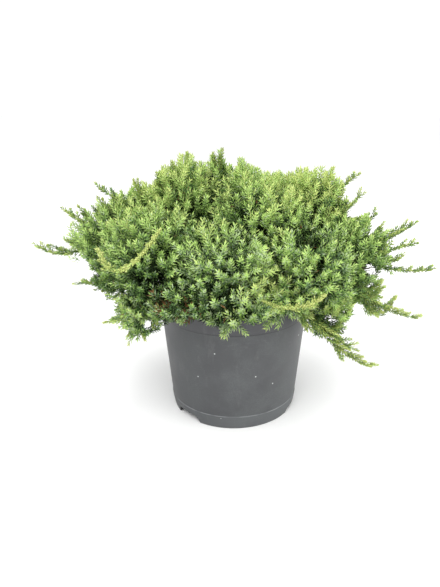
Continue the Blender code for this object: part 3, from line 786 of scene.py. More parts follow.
# The crown's upper outline, as the camera sees it on the plane through the axis: x and height
skyline = (
    (-0.176, 0.221), (-0.166, 0.235), (-0.157, 0.237), (-0.148, 0.246), (-0.143, 0.242),
    (-0.137, 0.245), (-0.133, 0.257), (-0.128, 0.253), (-0.123, 0.259), (-0.117, 0.254),
    (-0.111, 0.26), (-0.107, 0.268), (-0.104, 0.263), (-0.1, 0.266), (-0.091, 0.263),
    (-0.087, 0.264), (-0.082, 0.276), (-0.076, 0.282), (-0.07, 0.283), (-0.063, 0.288),
    (-0.056, 0.296), (-0.05, 0.301), (-0.045, 0.294), (-0.038, 0.288), (-0.031, 0.289),
    (-0.0265, 0.295), (-0.02, 0.298), (-0.016, 0.302), (-0.0115, 0.291), (-0.006, 0.284),
    (0.001, 0.28), (0.0066, 0.292), (0.014, 0.287), (0.022, 0.284), (0.028, 0.282), (0.036, 0.276),
    (0.043, 0.276), (0.049, 0.281), (0.0575, 0.275), (0.069, 0.28), (0.098, 0.281), (0.11, 0.279),
    (0.117, 0.266), (0.123, 0.26), (0.1265, 0.248), (0.129, 0.228), (0.136, 0.227), (0.147, 0.232),
    (0.154, 0.222), (0.162, 0.214), (0.168, 0.218), (0.18, 0.214),
)
# Dark hollows between the masses: azimuth, reach, height and radius. The clear ones keep out the
# tips of the placed shoots too.
clearHollows = (
    (36, 0.122, 0.234, 0.018), (27, 0.142, 0.2395, 0.013), (-22, 0.086, 0.25, 0.01),
    (4, 0.08, 0.253, 0.01),
)
hollows = (
    *clearHollows,
    (-4, 0.112, 0.172, 0.014), (-36, 0.128, 0.184, 0.009), (38, 0.132, 0.208, 0.01),
    (120, 0.12, 0.23, 0.014), (-165, 0.118, 0.22, 0.014),
)
# Gaps with the sky in them, as the camera sees them on that plane: x, height and radius
skyGaps = (
    (-0.1907, 0.211, 0.005), (-0.1803, 0.2145, 0.003), (-0.1773, 0.165, 0.0115),
    (-0.1705, 0.1637, 0.006), (-0.1604, 0.1613, 0.004), (-0.1642, 0.1447, 0.0034),
    (0.1619, 0.1613, 0.0042), (0.1575, 0.1453, 0.0036), (0.133, 0.097, 0.004),
    (-0.1357, 0.1366, 0.0045), (-0.1263, 0.1366, 0.0045), (-0.1462, 0.1215, 0.008),
    (-0.1482, 0.1112, 0.008), (-0.1561, 0.1164, 0.007), (-0.1321, 0.0878, 0.006),
    (-0.0927, 0.0825, 0.0065), (-0.0851, 0.0904, 0.0045), (-0.1027, 0.097, 0.007),
    (0.1237, 0.2581, 0.0035), (0.1309, 0.2493, 0.0068), (0.1301, 0.2304, 0.0055),
    (0.1566, 0.2202, 0.004), (0.1554, 0.2087, 0.0045), (0.1834, 0.1994, 0.004),
    (0.1848, 0.1853, 0.0045), (0.1568, 0.1674, 0.0065), (0.1744, 0.1983, 0.003),
    (0.1746, 0.1613, 0.005), (0.1595, 0.1491, 0.0035), (0.1791, 0.1515, 0.007),
    (0.1786, 0.1329, 0.005), (0.1908, 0.1391, 0.006), (0.1467, 0.1202, 0.0055),
    (0.151, 0.1112, 0.006), (0.1183, 0.1022, 0.0055), (0.1319, 0.1125, 0.0035),
    (0.1417, 0.0931, 0.007), (0.1468, 0.1048, 0.006), (0.1047, 0.0678, 0.008),
    (0.1137, 0.0597, 0.008), (0.1205, 0.0487, 0.007), (0.0918, 0.0838, 0.006),
    (-0.1718, 0.1746, 0.006),
)
# Places on the front that lie in shade or in light, on that plane: x, height, radius and how much
# they change the glow
tones = (
    (0.094, 0.175, 0.01, 0.25), (-0.149, 0.154, 0.014, 0.22), (-0.007, 0.123, 0.01, -0.35),
    (0.009, 0.24, 0.009, -0.22), (-0.159, 0.197, 0.012, 0.25), (0.025, 0.189, 0.016, -0.1),
    (0.151, 0.149, 0.014, 0.25), (0.033, 0.128, 0.014, -0.14), (0.113, 0.167, 0.02, -0.08),
    (-0.051, 0.293, 0.012, -0.12), (-0.081, 0.127, 0.015, -0.34), (0.115, 0.113, 0.02, 0.52),
    (0.167, 0.128, 0.026, 0.26), (-0.016, 0.144, 0.018, -0.17), (-0.101, 0.164, 0.013, -0.2),
    (0.042, 0.156, 0.022, 0.18), (-0.119, 0.156, 0.02, -0.34), (-0.092, 0.143, 0.017, -0.26),
    (-0.053, 0.155, 0.011, -0.2), (-0.021, 0.116, 0.014, -0.2), (0.001, 0.128, 0.009, -0.2),
    (0.084, 0.21, 0.015, -0.6), (-0.036, 0.232, 0.011, -0.2), (0.008, 0.235, 0.011, -0.22),
    (0.078, 0.257, 0.034, 0.26), (-0.054, 0.276, 0.026, 0.14), (-0.119, 0.107, 0.021, 0.4),
    (0.035, 0.158, 0.032, 0.15), (-0.004, 0.221, 0.012, 0.06), (-0.018, 0.092, 0.016, -0.26),
    (0.028, 0.097, 0.011, -0.16), (-0.111, 0.233, 0.028, 0.1), (-0.006, 0.268, 0.02, 0.15),
)
# Dead sprays low on the front left: azimuth, reach, height, radius and share
deadSprays = (
    (-29.7, 0.1358, 0.1668, 0.012, 0.6), (-19.2, 0.1186, 0.1706, 0.011, 0.5),
    (-19, 0.122, 0.163, 0.013, 0.42), (-33, 0.13, 0.177, 0.012, 0.24),
    (-26, 0.122, 0.162, 0.01, 0.3), (150, 0.12, 0.15, 0.014, 0.4),
)

# What a shoot has besides its start, heading, bend, length, glow, gain, blue and stem radius
usual = {
    "needle": needleLook["length"],
    "spacing": needleLook["whorls"],
    "openAngle": 52.0,
    "closeAngle": 28.0,
    "dry": 0.0,
}


def shoots(start, heading, bend, **values):
    # a shoot's point at a share t is start + length * (heading * t + bend * t * t)
    made = {"start": start, "heading": heading}
    made["bend"] = np.broadcast_to(bend, start.shape).astype(float)
    for name, value in {**usual, **values}.items():
        made[name] = np.broadcast_to(value, (len(start),)).astype(float)
    return made


def alongShoots(some, t):
    # point and heading of every shoot at its own share t
    t = np.broadcast_to(t, some["length"].shape)[:, None]
    point = some["start"] + some["length"][:, None] * (some["heading"] * t + some["bend"] * t * t)
    return point, unit(some["heading"] + 2 * t * some["bend"])


def together(sets):  # the arrays of all sets end to end
    return {name: np.concatenate([some[name] for some in sets]) for name in sets[0]}


def chosen(some, keep):  # only what a mask or an index names
    return {name: values[keep] for name, values in some.items()}


def capDirections(outward, count, degrees):
    # evenly spread directions within a cap about outward, each a golden turn after the last
    side, other = acrossOf(outward)
    k = np.arange(count)
    level = 1.0 - (k + 0.5) / count * (1.0 - math.cos(math.radians(degrees)))
    ring, turn = np.sqrt(1.0 - level**2), k * goldenTurn
    about = np.cos(turn)[:, None] * side + np.sin(turn)[:, None] * other
    return outward * level[:, None] + about * ring[:, None]


def radiusTowards(mass, directions):  # the mass's own radius, by its half-widths across and up
    flat = np.hypot(directions[..., 0], directions[..., 1]) / mass.wide
    return 1.0 / np.hypot(flat, directions[..., 2] / mass.tall)


def spreadOver(mass, count, degrees):  # directions over the outer side of a mass, and its radius
    outward = unit(centreOf(mass) - np.array(foliage["heart"]))
    directions = capDirections(outward, count, degrees)
    return directions, radiusTowards(mass, directions)[:, None]


def leaning(heading, turn, angle, rise):
    # heading * cos(angle) + radial * sin(angle), with the radial at a turn round it, and raised
    side, other = acrossOf(heading)
    radial = np.cos(turn) * side + np.sin(turn) * other
    return unit(heading * np.cos(angle) + radial * np.sin(angle) + rise * skyward)


def alongCurve(curve, t):
    # point and heading of quadratic curves (start, middle, tip), each at its own shares t
    start, middle, tip = (c[:, None] for c in curve)
    t = t[..., None]
    point = (1 - t) ** 2 * start + 2 * t * (1 - t) * middle + t**2 * tip
    return point, unit((1 - t) * (middle - start) + t * (tip - middle))


def seenAt(point):  # where the camera sees points on the plane through the axis: x and height
    eye = np.array(stage["camera"])
    share = -eye[1] / (point[:, 1] - eye[1])
    return point[:, 0] * share, eye[2] + (point[:, 2] - eye[2]) * share


def overSkyline(point):  # how far points are seen over the skyline
    x, height = seenAt(point)
    return height - np.interp(x, *zip(*skyline))


def depthIn(point):
    # how deep points lie in the deepest of the masses round them, below 0 outside them all
    deepest = np.full(len(point), -1.0)
    for mass in masses:
        away = point - centreOf(mass)
        far = np.linalg.norm(away, axis=1)
        deepest = np.maximum(deepest, radiusTowards(mass, away / far[:, None]) - far)
    return deepest


def spaced(some):
    # shoots with a bright tip keep their distance from each other, the outer ones first
    tips = alongShoots(some, 0.85)[0]
    bright = np.flatnonzero(some["gain"] > foliage["brightGain"])
    bright = bright[np.argsort(depthIn(tips[bright]))]
    tree = KDTree(len(bright))
    for k, tip in enumerate(tips[bright]):
        tree.insert(tip, k)
    tree.balance()
    dropped = np.zeros(len(bright), bool)
    for k, tip in enumerate(tips[bright]):
        if not dropped[k]:
            for _, near, _ in tree.find_range(tip, foliage["tipSpacing"]):
                dropped[near] |= near > k
    keep = np.ones(len(tips), bool)
    keep[bright[dropped]] = False
    return chosen(some, keep)


def outside(point, spheres):  # true where points lie in none of the spheres
    keep = np.ones(len(point), bool)
    for *place, radius in spheres:
        keep &= np.linalg.norm(point - polar(*place), axis=1) > radius
    return keep


def clearOfSky(point):  # true where the camera doesn't see points in a gap with the sky in it
    x, height = seenAt(point)
    keep = np.ones(len(point), bool)
    for across, level, radius in skyGaps:
        keep &= np.hypot(x - across, height - level) > radius
    return keep


def clearOfGaps(point):
    # true above the hem, which rises outwards from the rim, and outside every gap with sky in it
    azimuth = np.degrees(np.arctan2(point[:, 0], -point[:, 1]))
    reach = np.hypot(point[:, 0], point[:, 1])
    rise = foliage["underside"] * (reach - potShape["rim"][0])
    return (point[:, 2] > np.interp(azimuth, *zip(*hem)) + rise) & clearOfSky(point)


def plumesOf(mass, stem, random):
    # leaders from the mass's stem to points spread over its outer side. Each arrives at its tip
    # along the direction of that point from the centre, turned skywards by the tier's lift.
    look, count = foliage, round(mass.plumes * foliage["plumes"])
    directions, full = spreadOver(mass, count, look["capDegrees"])
    tip = centreOf(mass) + directions * full * random.uniform(*look["reach"], (count, 1))
    skew = random.normal(0, look["jitter"], (count, 3))
    arrive = unit(directions + look["lift"][tierOf(mass)] * skyward + skew)
    start = stem[0] + (stem[1] - stem[0]) * random.uniform(*look["root"], (count, 1))
    tip[:, 2] -= np.maximum(0.0, overSkyline(tip) + look["overTip"])
    middle = tip - arrive * np.linalg.norm(tip - start, axis=1)[:, None] * look["sweep"]
    glow = look["glow"] + mass.glow + look["skyGlow"] * directions[:, 2]
    glow = glow + random.normal(0, look["glowSpread"], count)
    kept = clearOfGaps(tip) & outside(tip, hollows)
    return tuple(c[kept] for c in (start, middle, tip)), glow[kept], np.full(kept.sum(), mass.blue)


def dressed(curve, glow, blue, scales, random):
    # a plume: side shoots round the green end of each leader, long at its foot and short at its
    # tip, bent on to the leader's heading. The lowest ones fork, and the leader is in needle too.
    look, count, sides = plumeLook, len(glow), plumeLook["sides"]
    length = np.linalg.norm(curve[2] - curve[0], axis=1)
    scale = np.broadcast_to(scales, count)[:, None]
    green = 1.0 - look["greenLength"] * scale[:, 0] / length
    green = np.clip(green, *look["greenFrom"])[:, None]
    steps, stray = np.linspace(0.0, 1.0, sides), look["strayShare"]
    t = green + (look["lastShare"] - green) * steps
    t = t + random.uniform(-stray, stray, (count, sides))
    point, heading = alongCurve(curve, t)
    turn = (random.uniform(0, 2 * math.pi, (count, 1)) + np.arange(sides) * goldenTurn)[..., None]
    angle = np.radians(blend(steps, *look["angle"]))[None, :, None]
    aim = leaning(heading, turn, angle, look["raised"])
    bend = look["bend"] * heading + look["rise"] * skyward
    reach = blend(steps, *look["length"]) * random.uniform(*look["varied"], (count, sides)) * scale
    brighter = glow[:, None] + look["slope"] * (steps - 0.5)
    brighter = brighter + random.normal(0, look["glowSpread"], (count, sides))
    branches = shoots(
        *(v.reshape(-1, 3) for v in (point, aim, bend)), length=reach.ravel(),
        glow=brighter.ravel(), gain=look["gain"], blue=np.repeat(blue, sides), stem=look["stem"],
    )
    low = chosen(branches, np.tile(np.arange(sides) < look["forks"], count))
    place, onward = alongShoots(low, look["forkPlace"])
    turn = random.uniform(-look["forkTurn"], look["forkTurn"], (len(place), 1))
    aim = leaning(onward, turn, math.radians(look["forkAngle"]), look["forkRaised"])
    forks = shoots(
        place, aim, look["forkBend"] * onward,
        length=look["forkLength"] * random.uniform(*look["forkVaried"], len(place)),
        glow=low["glow"] + look["forkGlow"], gain=look["forkGain"], blue=low["blue"],
        stem=look["forkStem"],
    )
    found = [branches, forks]
    for first, last, opened, closed, change, gain in leaderRuns:
        ends, _ = alongCurve(curve, green + (1.0 - green) * np.array((first, last)))
        chord = ends[:, 1] - ends[:, 0]
        reach = np.linalg.norm(chord, axis=1)
        run = shoots(
            ends[:, 0], unit(chord), 0.0, length=reach, openAngle=opened, closeAngle=closed,
            glow=glow + change, gain=gain, blue=blue, stem=look["leaderStem"],
        )
        found.append(run)
    return together(found)


# Accents: plumes whose place is known, by their mass: place, scale and number of companions
accents = {
    "crest_left": (
        (-84, 0.0498, 0.3, 1.1, 6), (-82, 0.077, 0.286, 1.0, 4), (-62, 0.056, 0.29, 1.0, 4),
        (-90, 0.1157, 0.257, 1.0, 4), (-90, 0.105, 0.266, 0.9, 3), (-90, 0.081, 0.277, 0.9, 4),
    ),
    "shoulder_left_back": ((-94, 0.1331, 0.257, 0.9, 3), (-92, 0.149, 0.246, 0.9, 3)),
    "shoulder_left": (
        (-90, 0.165, 0.233, 1.1, 5), (-90, 0.174, 0.219, 0.9, 3), (-90, 0.188, 0.199, 0.8, 3),
        (-89, 0.179, 0.197, 1.0, 3),
    ),
    "crest_middle": (
        (-122, 0.019, 0.301, 1.0, 4), (-110, 0.026, 0.295, 1.0, 3), (100, 0.008, 0.289, 0.9, 3),
    ),
    "crest_front": (
        (18, 0.021, 0.296, 0.95, 4), (40, 0.056, 0.283, 1.05, 4), (75, 0.049, 0.28, 1.0, 3),
    ),
    "crest_right": (
        (70, 0.074, 0.279, 1.0, 4), (84, 0.107, 0.277, 1.0, 4), (96, 0.09, 0.284, 1.05, 5),
        (100, 0.112, 0.28, 0.95, 4),
    ),
    "shoulder_front_right": ((22, 0.14, 0.234, 1.2, 6),),
    "shoulder_front": (
        (11, 0.138, 0.228, 1.1, 5), (-5, 0.136, 0.224, 1.15, 5), (-22, 0.133, 0.227, 1.1, 5),
    ),
    "shoulder_front_left": ((-56, 0.14, 0.236, 1.1, 5), (-42, 0.134, 0.233, 1.1, 5)),
    "skirt_front": ((-7, 0.101, 0.1285, 0.65, 1),),
    "skirt_front_right": ((17, 0.106, 0.14, 0.65, 1), (40, 0.117, 0.144, 0.9, 3)),
    "skirt_front_left": ((-34, 0.104, 0.137, 0.7, 1),),
    "skirt_left_low": (
        (-52, 0.132, 0.115, 0.9, 3), (-46, 0.123, 0.123, 0.8, 2), (-51, 0.144, 0.139, 0.9, 3),
        (-43, 0.14, 0.148, 0.9, 3), (-61, 0.148, 0.133, 0.8, 1), (-52, 0.149, 0.156, 0.9, 3),
    ),
    "skirt_right": (
        (79, 0.158, 0.119, 0.9, 4), (79, 0.166, 0.124, 0.9, 4), (79, 0.152, 0.125, 0.8, 3),
        (72, 0.16, 0.146, 0.9, 4), (80, 0.178, 0.143, 0.8, 2), (80, 0.164, 0.153, 0.8, 2),
    ),
    "skirt_left": ((-82, 0.15, 0.15, 0.9, 4), (-78, 0.143, 0.146, 0.8, 3)),
    "shoulder_right": (
        (87, 0.186, 0.184, 0.8, 2), (90, 0.176, 0.196, 0.9, 3), (90, 0.17, 0.213, 1.0, 4),
        (90, 0.147, 0.228, 0.9, 4),
    ),
}

accentLook = {
    "root": (0.5, 1.0),
    "sweep": 0.5,
    "lift": 0.60,  # of the tier's
    "out": (0.009, 0.013),  # companions, from the plume's own tip
    "down": (0.010, 0.020),
    "stray": 0.2,
    "smaller": (0.75, 0.95),
    "glow": 0.10,
    "companionGlow": 0.04,
    "leastGlow": 0.12,
    "glowSpread": 0.05,
}


def accentsOf(mass, stem, random):
    # each plume stands at its own place, with its companions round it, lower and a little out
    look, rows = accentLook, accents.get(mass.name, ())
    tips, scales, glows = [], [], []
    centre = centreOf(mass)
    for azimuth, reach, height, scale, companions in rows:
        tip = polar(azimuth, reach, height)
        heading = unit(tip - centre + 0.02 * skyward * np.sign(height - centre[2]))
        side, other = acrossOf(heading)
        tip = tip - heading * foliage["overTip"] * scale
        tips.append(tip)
        scales.append(scale)
        glows.append(look["glow"])
        for k in range(companions):
            turn = k + random.uniform(-look["stray"], look["stray"])
            turn = 2 * math.pi * turn / companions
            out = math.cos(turn) * side + math.sin(turn) * other
            drop = random.uniform(*look["down"]) * scale
            tips.append(tip + out * random.uniform(*look["out"]) * scale - heading * drop)
            scales.append(scale * random.uniform(*look["smaller"]))
            glows.append(look["companionGlow"])
    if not tips:
        return []
    tip, scale, count = np.array(tips), np.array(scales), len(tips)
    arrive = unit(unit(tip - centre) + look["lift"] * foliage["lift"][tierOf(mass)] * skyward)
    start = stem[0] + (stem[1] - stem[0]) * random.uniform(*look["root"], (count, 1))
    middle = tip - arrive * np.linalg.norm(tip - start, axis=1)[:, None] * look["sweep"]
    glow = foliage["glow"] + max(mass.glow, look["leastGlow"]) + np.array(glows)
    glow = glow + random.normal(0, look["glowSpread"], count)
    return [((start, middle, tip), glow, np.full(count, mass.blue), scale)]


def innerOf(mass, random):
    # shoots painted dark as shade through the inner part of a mass, which close the view through it
    look, count = innerLook, innerLook["count"]
    directions, full = spreadOver(mass, count, look["capDegrees"])
    share = random.uniform(*look["reach"], (count, 1))
    stray = random.normal(0, look["jitter"], (count, 3))
    aim = unit(directions + look["lift"] * skyward + stray)
    opened, closed = look["needleAngles"]
    lighter = look["crestGlow"] if tierOf(mass) == "crest" else 0.0
    return shoots(
        centreOf(mass) + directions * full * share, aim, 0.0,
        length=look["length"] * random.uniform(*look["varied"], count),
        glow=random.uniform(*look["glow"], count) + lighter, gain=look["gain"],
        blue=mass.blue * look["blue"], needle=look["needle"], spacing=look["whorls"],
        openAngle=opened, closeAngle=closed, dry=look["dry"], stem=look["stem"],
    )


def fillersOf(mass, random):
    # single shoots over the mass's outer side, which close the valleys between its plumes
    look, plume, crown, count = fillerLook, plumeLook, foliage, fillerLook["count"]
    directions, full = spreadOver(mass, count, crown["capDegrees"])
    tip = centreOf(mass) + directions * full * random.uniform(*look["reach"], (count, 1))
    tip[:, 2] -= np.maximum(0.0, overSkyline(tip) + crown["overTip"])
    stray = random.normal(0, look["jitter"], (count, 3))
    aim = unit(directions + crown["lift"][tierOf(mass)] * skyward + stray)
    length = plume["length"][0] * random.uniform(*look["varied"], count)
    glow = look["glow"] + mass.glow + crown["skyGlow"] * directions[:, 2]
    glow = glow + random.normal(0, crown["glowSpread"], count)
    return shoots(
        tip - aim * length[:, None], aim, 0.0, length=length, glow=glow, gain=plume["gain"],
        blue=mass.blue, stem=plume["stem"],
    )


# Whips: long young shoots out of the outline, by mass: start, bend, tip, fullness and added glow
whips = (
    ("shoulder_left", (
        ((-78.2, 0.1467, 0.2087), (-85.5, 0.1907, 0.177), (-90.0, 0.2231, 0.1948), 1.1, 0.0),
        ((-78.2, 0.1464, 0.2131), (-84.9, 0.1678, 0.2282), (-90.0, 0.185, 0.2326), 1.2, 0.0),
    )),
    ("shoulder_left_back", (
        ((-80.0, 0.1149, 0.2413), (-85.7, 0.1339, 0.2544), (-90.0, 0.1452, 0.2581), 0.8, 0.0),
    )),
    ("skirt_left", (
        ((-64.5, 0.1396, 0.1626), (-71.3, 0.1563, 0.1668), (-76.5, 0.1717, 0.1633), 1.0, 0.16),
    )),
    ("crest_right", (
        ((90.0, 0.0972, 0.2427), (97.0, 0.1241, 0.2589), (102.3, 0.1405, 0.2676), 0.9, -0.14),
        ((78.1, 0.0972, 0.2271), (85.4, 0.1224, 0.2381), (90.0, 0.1395, 0.252), 0.9, -0.08),
    )),
    ("shoulder_right", (
        ((90.0, 0.1178, 0.1994), (94.0, 0.1465, 0.2108), (97.1, 0.1638, 0.2271), 1.1, -0.05),
        ((76.6, 0.1294, 0.1931), (84.9, 0.1693, 0.2058), (90.0, 0.2004, 0.2185), 1.4, 0.0),
        ((67.8, 0.1322, 0.187), (77.8, 0.1655, 0.2001), (84.2, 0.1984, 0.2009), 1.2, 0.0),
        ((70.9, 0.1223, 0.2049), (83.0, 0.1649, 0.1633), (90.0, 0.2295, 0.1656), 1.2, 0.0),
    )),
    ("skirt_right", (
        ((62.7, 0.1309, 0.1704), (72.3, 0.1646, 0.1334), (79.0, 0.2099, 0.1214), 1.4, 0.14),
    )),
    ("skirt_right_low", (
        ((34.7, 0.1094, 0.1608), (55.6, 0.1327, 0.0927), (68.7, 0.1653, 0.0714), 1.9, 0.2),
    )),
)
# Tufts: short straight ones at the outline, by mass: start, tip, fullness and added glow
tufts = (
    ("shoulder_left", (
        ((-86.2, 0.1511, 0.2169), (-86.5, 0.1659, 0.2348), 1.1, -0.1),
        ((-86.4, 0.1587, 0.1952), (-86.8, 0.1792, 0.201), 0.7, -0.1),
        ((-86.4, 0.1611, 0.1929), (-86.9, 0.1825, 0.201), 0.9, -0.1),
    )),
    ("shoulder_left_back", (((-85.6, 0.1315, 0.2293), (-86.0, 0.1444, 0.2447), 1.0, 0.0),)),
    ("crest_left", (
        ((-84.1, 0.0978, 0.2468), (-84.6, 0.1054, 0.263), 1.1, 0.0),
        ((-82.7, 0.0789, 0.2587), (-83.1, 0.0829, 0.2718), 1.1, 0.0),
        ((-81.1, 0.0648, 0.2673), (-81.4, 0.0665, 0.281), 1.0, 0.0),
    )),
    ("skirt_left", (
        ((-71.7, 0.1277, 0.1656), (-74.6, 0.1502, 0.1563), 1.2, 0.05),
        ((-66.6, 0.1257, 0.1612), (-69.0, 0.1394, 0.1497), 1.1, 0.05),
    )),
    ("skirt_left_low", (
        ((-57.3, 0.1295, 0.1394), (-61.3, 0.1456, 0.1315), 1.0, 0.35),
        ((-49.8, 0.1239, 0.1436), (-53.4, 0.1341, 0.117), 1.0, 0.39),
        ((-48.7, 0.1289, 0.1435), (-47.9, 0.1268, 0.121), 0.9, 0.39),
        ((-40.7, 0.1186, 0.1544), (-42.8, 0.1227, 0.1346), 0.8, 0.33),
        ((-40.2, 0.1178, 0.1587), (-41.6, 0.1203, 0.1434), 0.8, 0.27),
    )),
    ("shoulder_right", (
        ((81.9, 0.1418, 0.2015), (82.9, 0.1615, 0.2175), 1.0, 0.0),
        ((82.4, 0.1503, 0.1785), (83.8, 0.1839, 0.1832), 0.9, 0.0),
        ((78.1, 0.1459, 0.1976), (79.4, 0.1628, 0.2098), 1.1, 0.0),
    )),
    ("skirt_right", (
        ((70.1, 0.1472, 0.1451), (72.3, 0.1643, 0.16), 1.1, 0.1),
        ((73.7, 0.1602, 0.1325), (75.5, 0.1791, 0.1442), 1.1, 0.15),
        ((70.0, 0.1457, 0.1508), (71.5, 0.1576, 0.1306), 1.1, 0.1),
        ((70.4, 0.1489, 0.1497), (72.4, 0.1657, 0.1322), 1.1, 0.1),
    )),
    ("skirt_right_low", (
        ((45.3, 0.1209, 0.1435), (50.2, 0.1328, 0.152), 1.0, 0.0),
        ((50.9, 0.1267, 0.1221), (56.0, 0.1432, 0.1414), 1.3, 0.1),
        ((48.2, 0.1276, 0.1267), (51.9, 0.1378, 0.1323), 1.0, 0.0),
        ((46.7, 0.1195, 0.1333), (53.0, 0.1362, 0.1162), 1.5, 0.0),
        ((52.4, 0.1277, 0.1154), (57.6, 0.1456, 0.1049), 1.3, 0.08),
        ((53.3, 0.1304, 0.1119), (55.7, 0.1385, 0.0907), 1.0, 0.0),
        ((38.6, 0.1151, 0.15), (45.1, 0.1275, 0.1256), 1.3, 0.0),
        ((35.6, 0.1107, 0.1566), (38.4, 0.1148, 0.1379), 1.1, 0.0),
    )),
    ("shoulder_left", (
        ((-88.4, 0.1828, 0.188), (-88.6, 0.1994, 0.1924), 0.8, 0.0),
        ((-86.2, 0.1508, 0.2079), (-86.4, 0.161, 0.215), 0.9, 0.0),
    )),
    ("crest_left", (((-90.0, 0.0506, 0.2785), (-90.0, 0.0509, 0.2912), 0.8, -0.14),)),
    ("crest_middle", (((-90.0, 0.0192, 0.2806), (-90.0, 0.0225, 0.2923), 0.8, 0.22),)),
    ("crest_right", (
        ((90.0, 0.1016, 0.2438), (90.0, 0.1107, 0.259), 1.1, 0.0),
        ((90.0, 0.1046, 0.2304), (90.0, 0.1166, 0.2462), 1.0, 0.0),
    )),
    ("shoulder_right", (
        ((90.0, 0.1288, 0.2029), (90.0, 0.1436, 0.2136), 1.0, 0.0),
        ((90.0, 0.1236, 0.2133), (90.0, 0.1332, 0.2222), 1.0, 0.0),
        ((90.0, 0.1677, 0.1971), (90.0, 0.1844, 0.21), 1.0, 0.0),
    )),
    ("skirt_right", (
        ((81.7, 0.139, 0.1538), (82.5, 0.1544, 0.1601), 0.5, 0.1),
        ((82.1, 0.1464, 0.1454), (82.9, 0.1608, 0.1525), 0.8, 0.1),
        ((76.2, 0.1673, 0.1232), (77.0, 0.1784, 0.1369), 1.1, 0.1),
    )),
    ("skirt_right_low", (
        ((58.0, 0.1323, 0.128), (60.1, 0.1404, 0.146), 1.2, 0.0),
        ((50.4, 0.1254, 0.1164), (53.8, 0.1355, 0.1278), 1.2, 0.0),
        ((34.5, 0.1068, 0.159), (39.5, 0.1141, 0.1343), 1.4, 0.12),
    )),
    ("skirt_left", (((-69.9, 0.1307, 0.1616), (-71.8, 0.1438, 0.1558), 1.0, 0.05),)),
    ("shoulder_left", (((-85.8, 0.1369, 0.2169), (-86.2, 0.1513, 0.2364), 1.0, -0.1),)),
    ("shoulder_right", (((88.2, 0.157, 0.1785), (88.3, 0.1726, 0.1886), 0.9, 0.0),)),
    ("crest_front", (((-90.0, 0.016, 0.2764), (-90.0, 0.014, 0.2943), 0.8, 0.22),)),
    ("crest_right", (((90.0, 0.0965, 0.2548), (90.0, 0.1067, 0.2719), 1.0, 0.0),)),
)
# Whips on the back: mass, azimuth, reach, height, bow and fullness
backWhips = (
    ("shoulder_back_right", 128, 0.209, 0.224, -0.006, 1.3),
    ("shoulder_back", 168, 0.208, 0.202, -0.01, 1.2),
    ("shoulder_back_left", -138, 0.204, 0.216, -0.008, 1.2),
    ("skirt_back", 158, 0.194, 0.118, 0.01, 1.4),
    ("skirt_back_left", -158, 0.19, 0.14, 0.004, 1.3),
    ("crest_back_right", 146, 0.152, 0.256, -0.004, 1.0),
)

whipLook = {
    "cutBack": 0.003,  # of the tip, which its needles make up for
    "bowAt": 0.55,
    "bareShare": 0.10,
    "lastShares": (0.965, 0.97),  # of the last side shoot, without and with its stray
    "stray": 0.25,  # in spacings
    "spacing": 0.0068,
    "side": (0.0135, 0.0090),  # side shoots at the foot and at the tip
    "varied": (0.60, 1.20),
    "angle": 33.0,
    "droop": 0.35,
    "drift": 0.25,
    "rise": 0.18,
    "bend": 0.22,
    "needle": 0.0050,
    "sideWhorls": 0.0016,
    "sideNeedles": (42.0, 15.0),  # opening and closing angle
    "sideGain": 0.52,
    "sideStem": 0.0005,
    "stemWhorls": 0.0020,
    "stemNeedles": (50.0, 36.0, 12.0),
    "stemShorter": 0.72,
    "stemGain": 0.12,
    "stemRadius": 0.0008,
    "stemParts": 6,
    "glow": 0.53,
    "massGlow": (0.6, 0.5),  # shares of the mass's, for the side shoots and the stem
    "footDimmer": 0.18,
    "glowSpread": 0.09,
    "stemSlope": 0.16,
    "stemDimmer": 0.12,
    "blue": -0.85,
}
Whip = namedtuple("Whip", "mass start middle tip fullness lighter")


def stemShoots(curve, shares, overlap=1.0, **values):
    # a curve's own axis as straight shoots, each from one share to the next * the overlap
    ends = alongCurve(curve, shares[None])[0][0]
    chords = ends[1:] - ends[:-1]
    length = overlap * np.linalg.norm(chords, axis=1)
    return shoots(ends[:-1], unit(chords), 0.0, length=length, **values)


def massNamed(name):  # the mass of that name
    return next(m for m in masses if m.name == name)


def allWhips():
    # the long ones, then the tufts with their bend halfway, then the back ones with their bow
    laid = []
    for name, rows in whips + tufts:
        for *corners, fullness, lighter in rows:
            start, *middle, tip = (polar(*corner) for corner in corners)
            middle = middle[0] if middle else (start + tip) / 2
            laid.append(Whip(massNamed(name), start, middle, tip, fullness, lighter))
    for name, azimuth, reach, height, bow, fullness in backWhips:
        mass, tip = massNamed(name), polar(azimuth, reach, height)
        start = centreOf(mass)
        middle = start + (tip - start) * whipLook["bowAt"] + skyward * bow
        laid.append(Whip(mass, start, middle, tip, fullness, 0.0))
    return laid


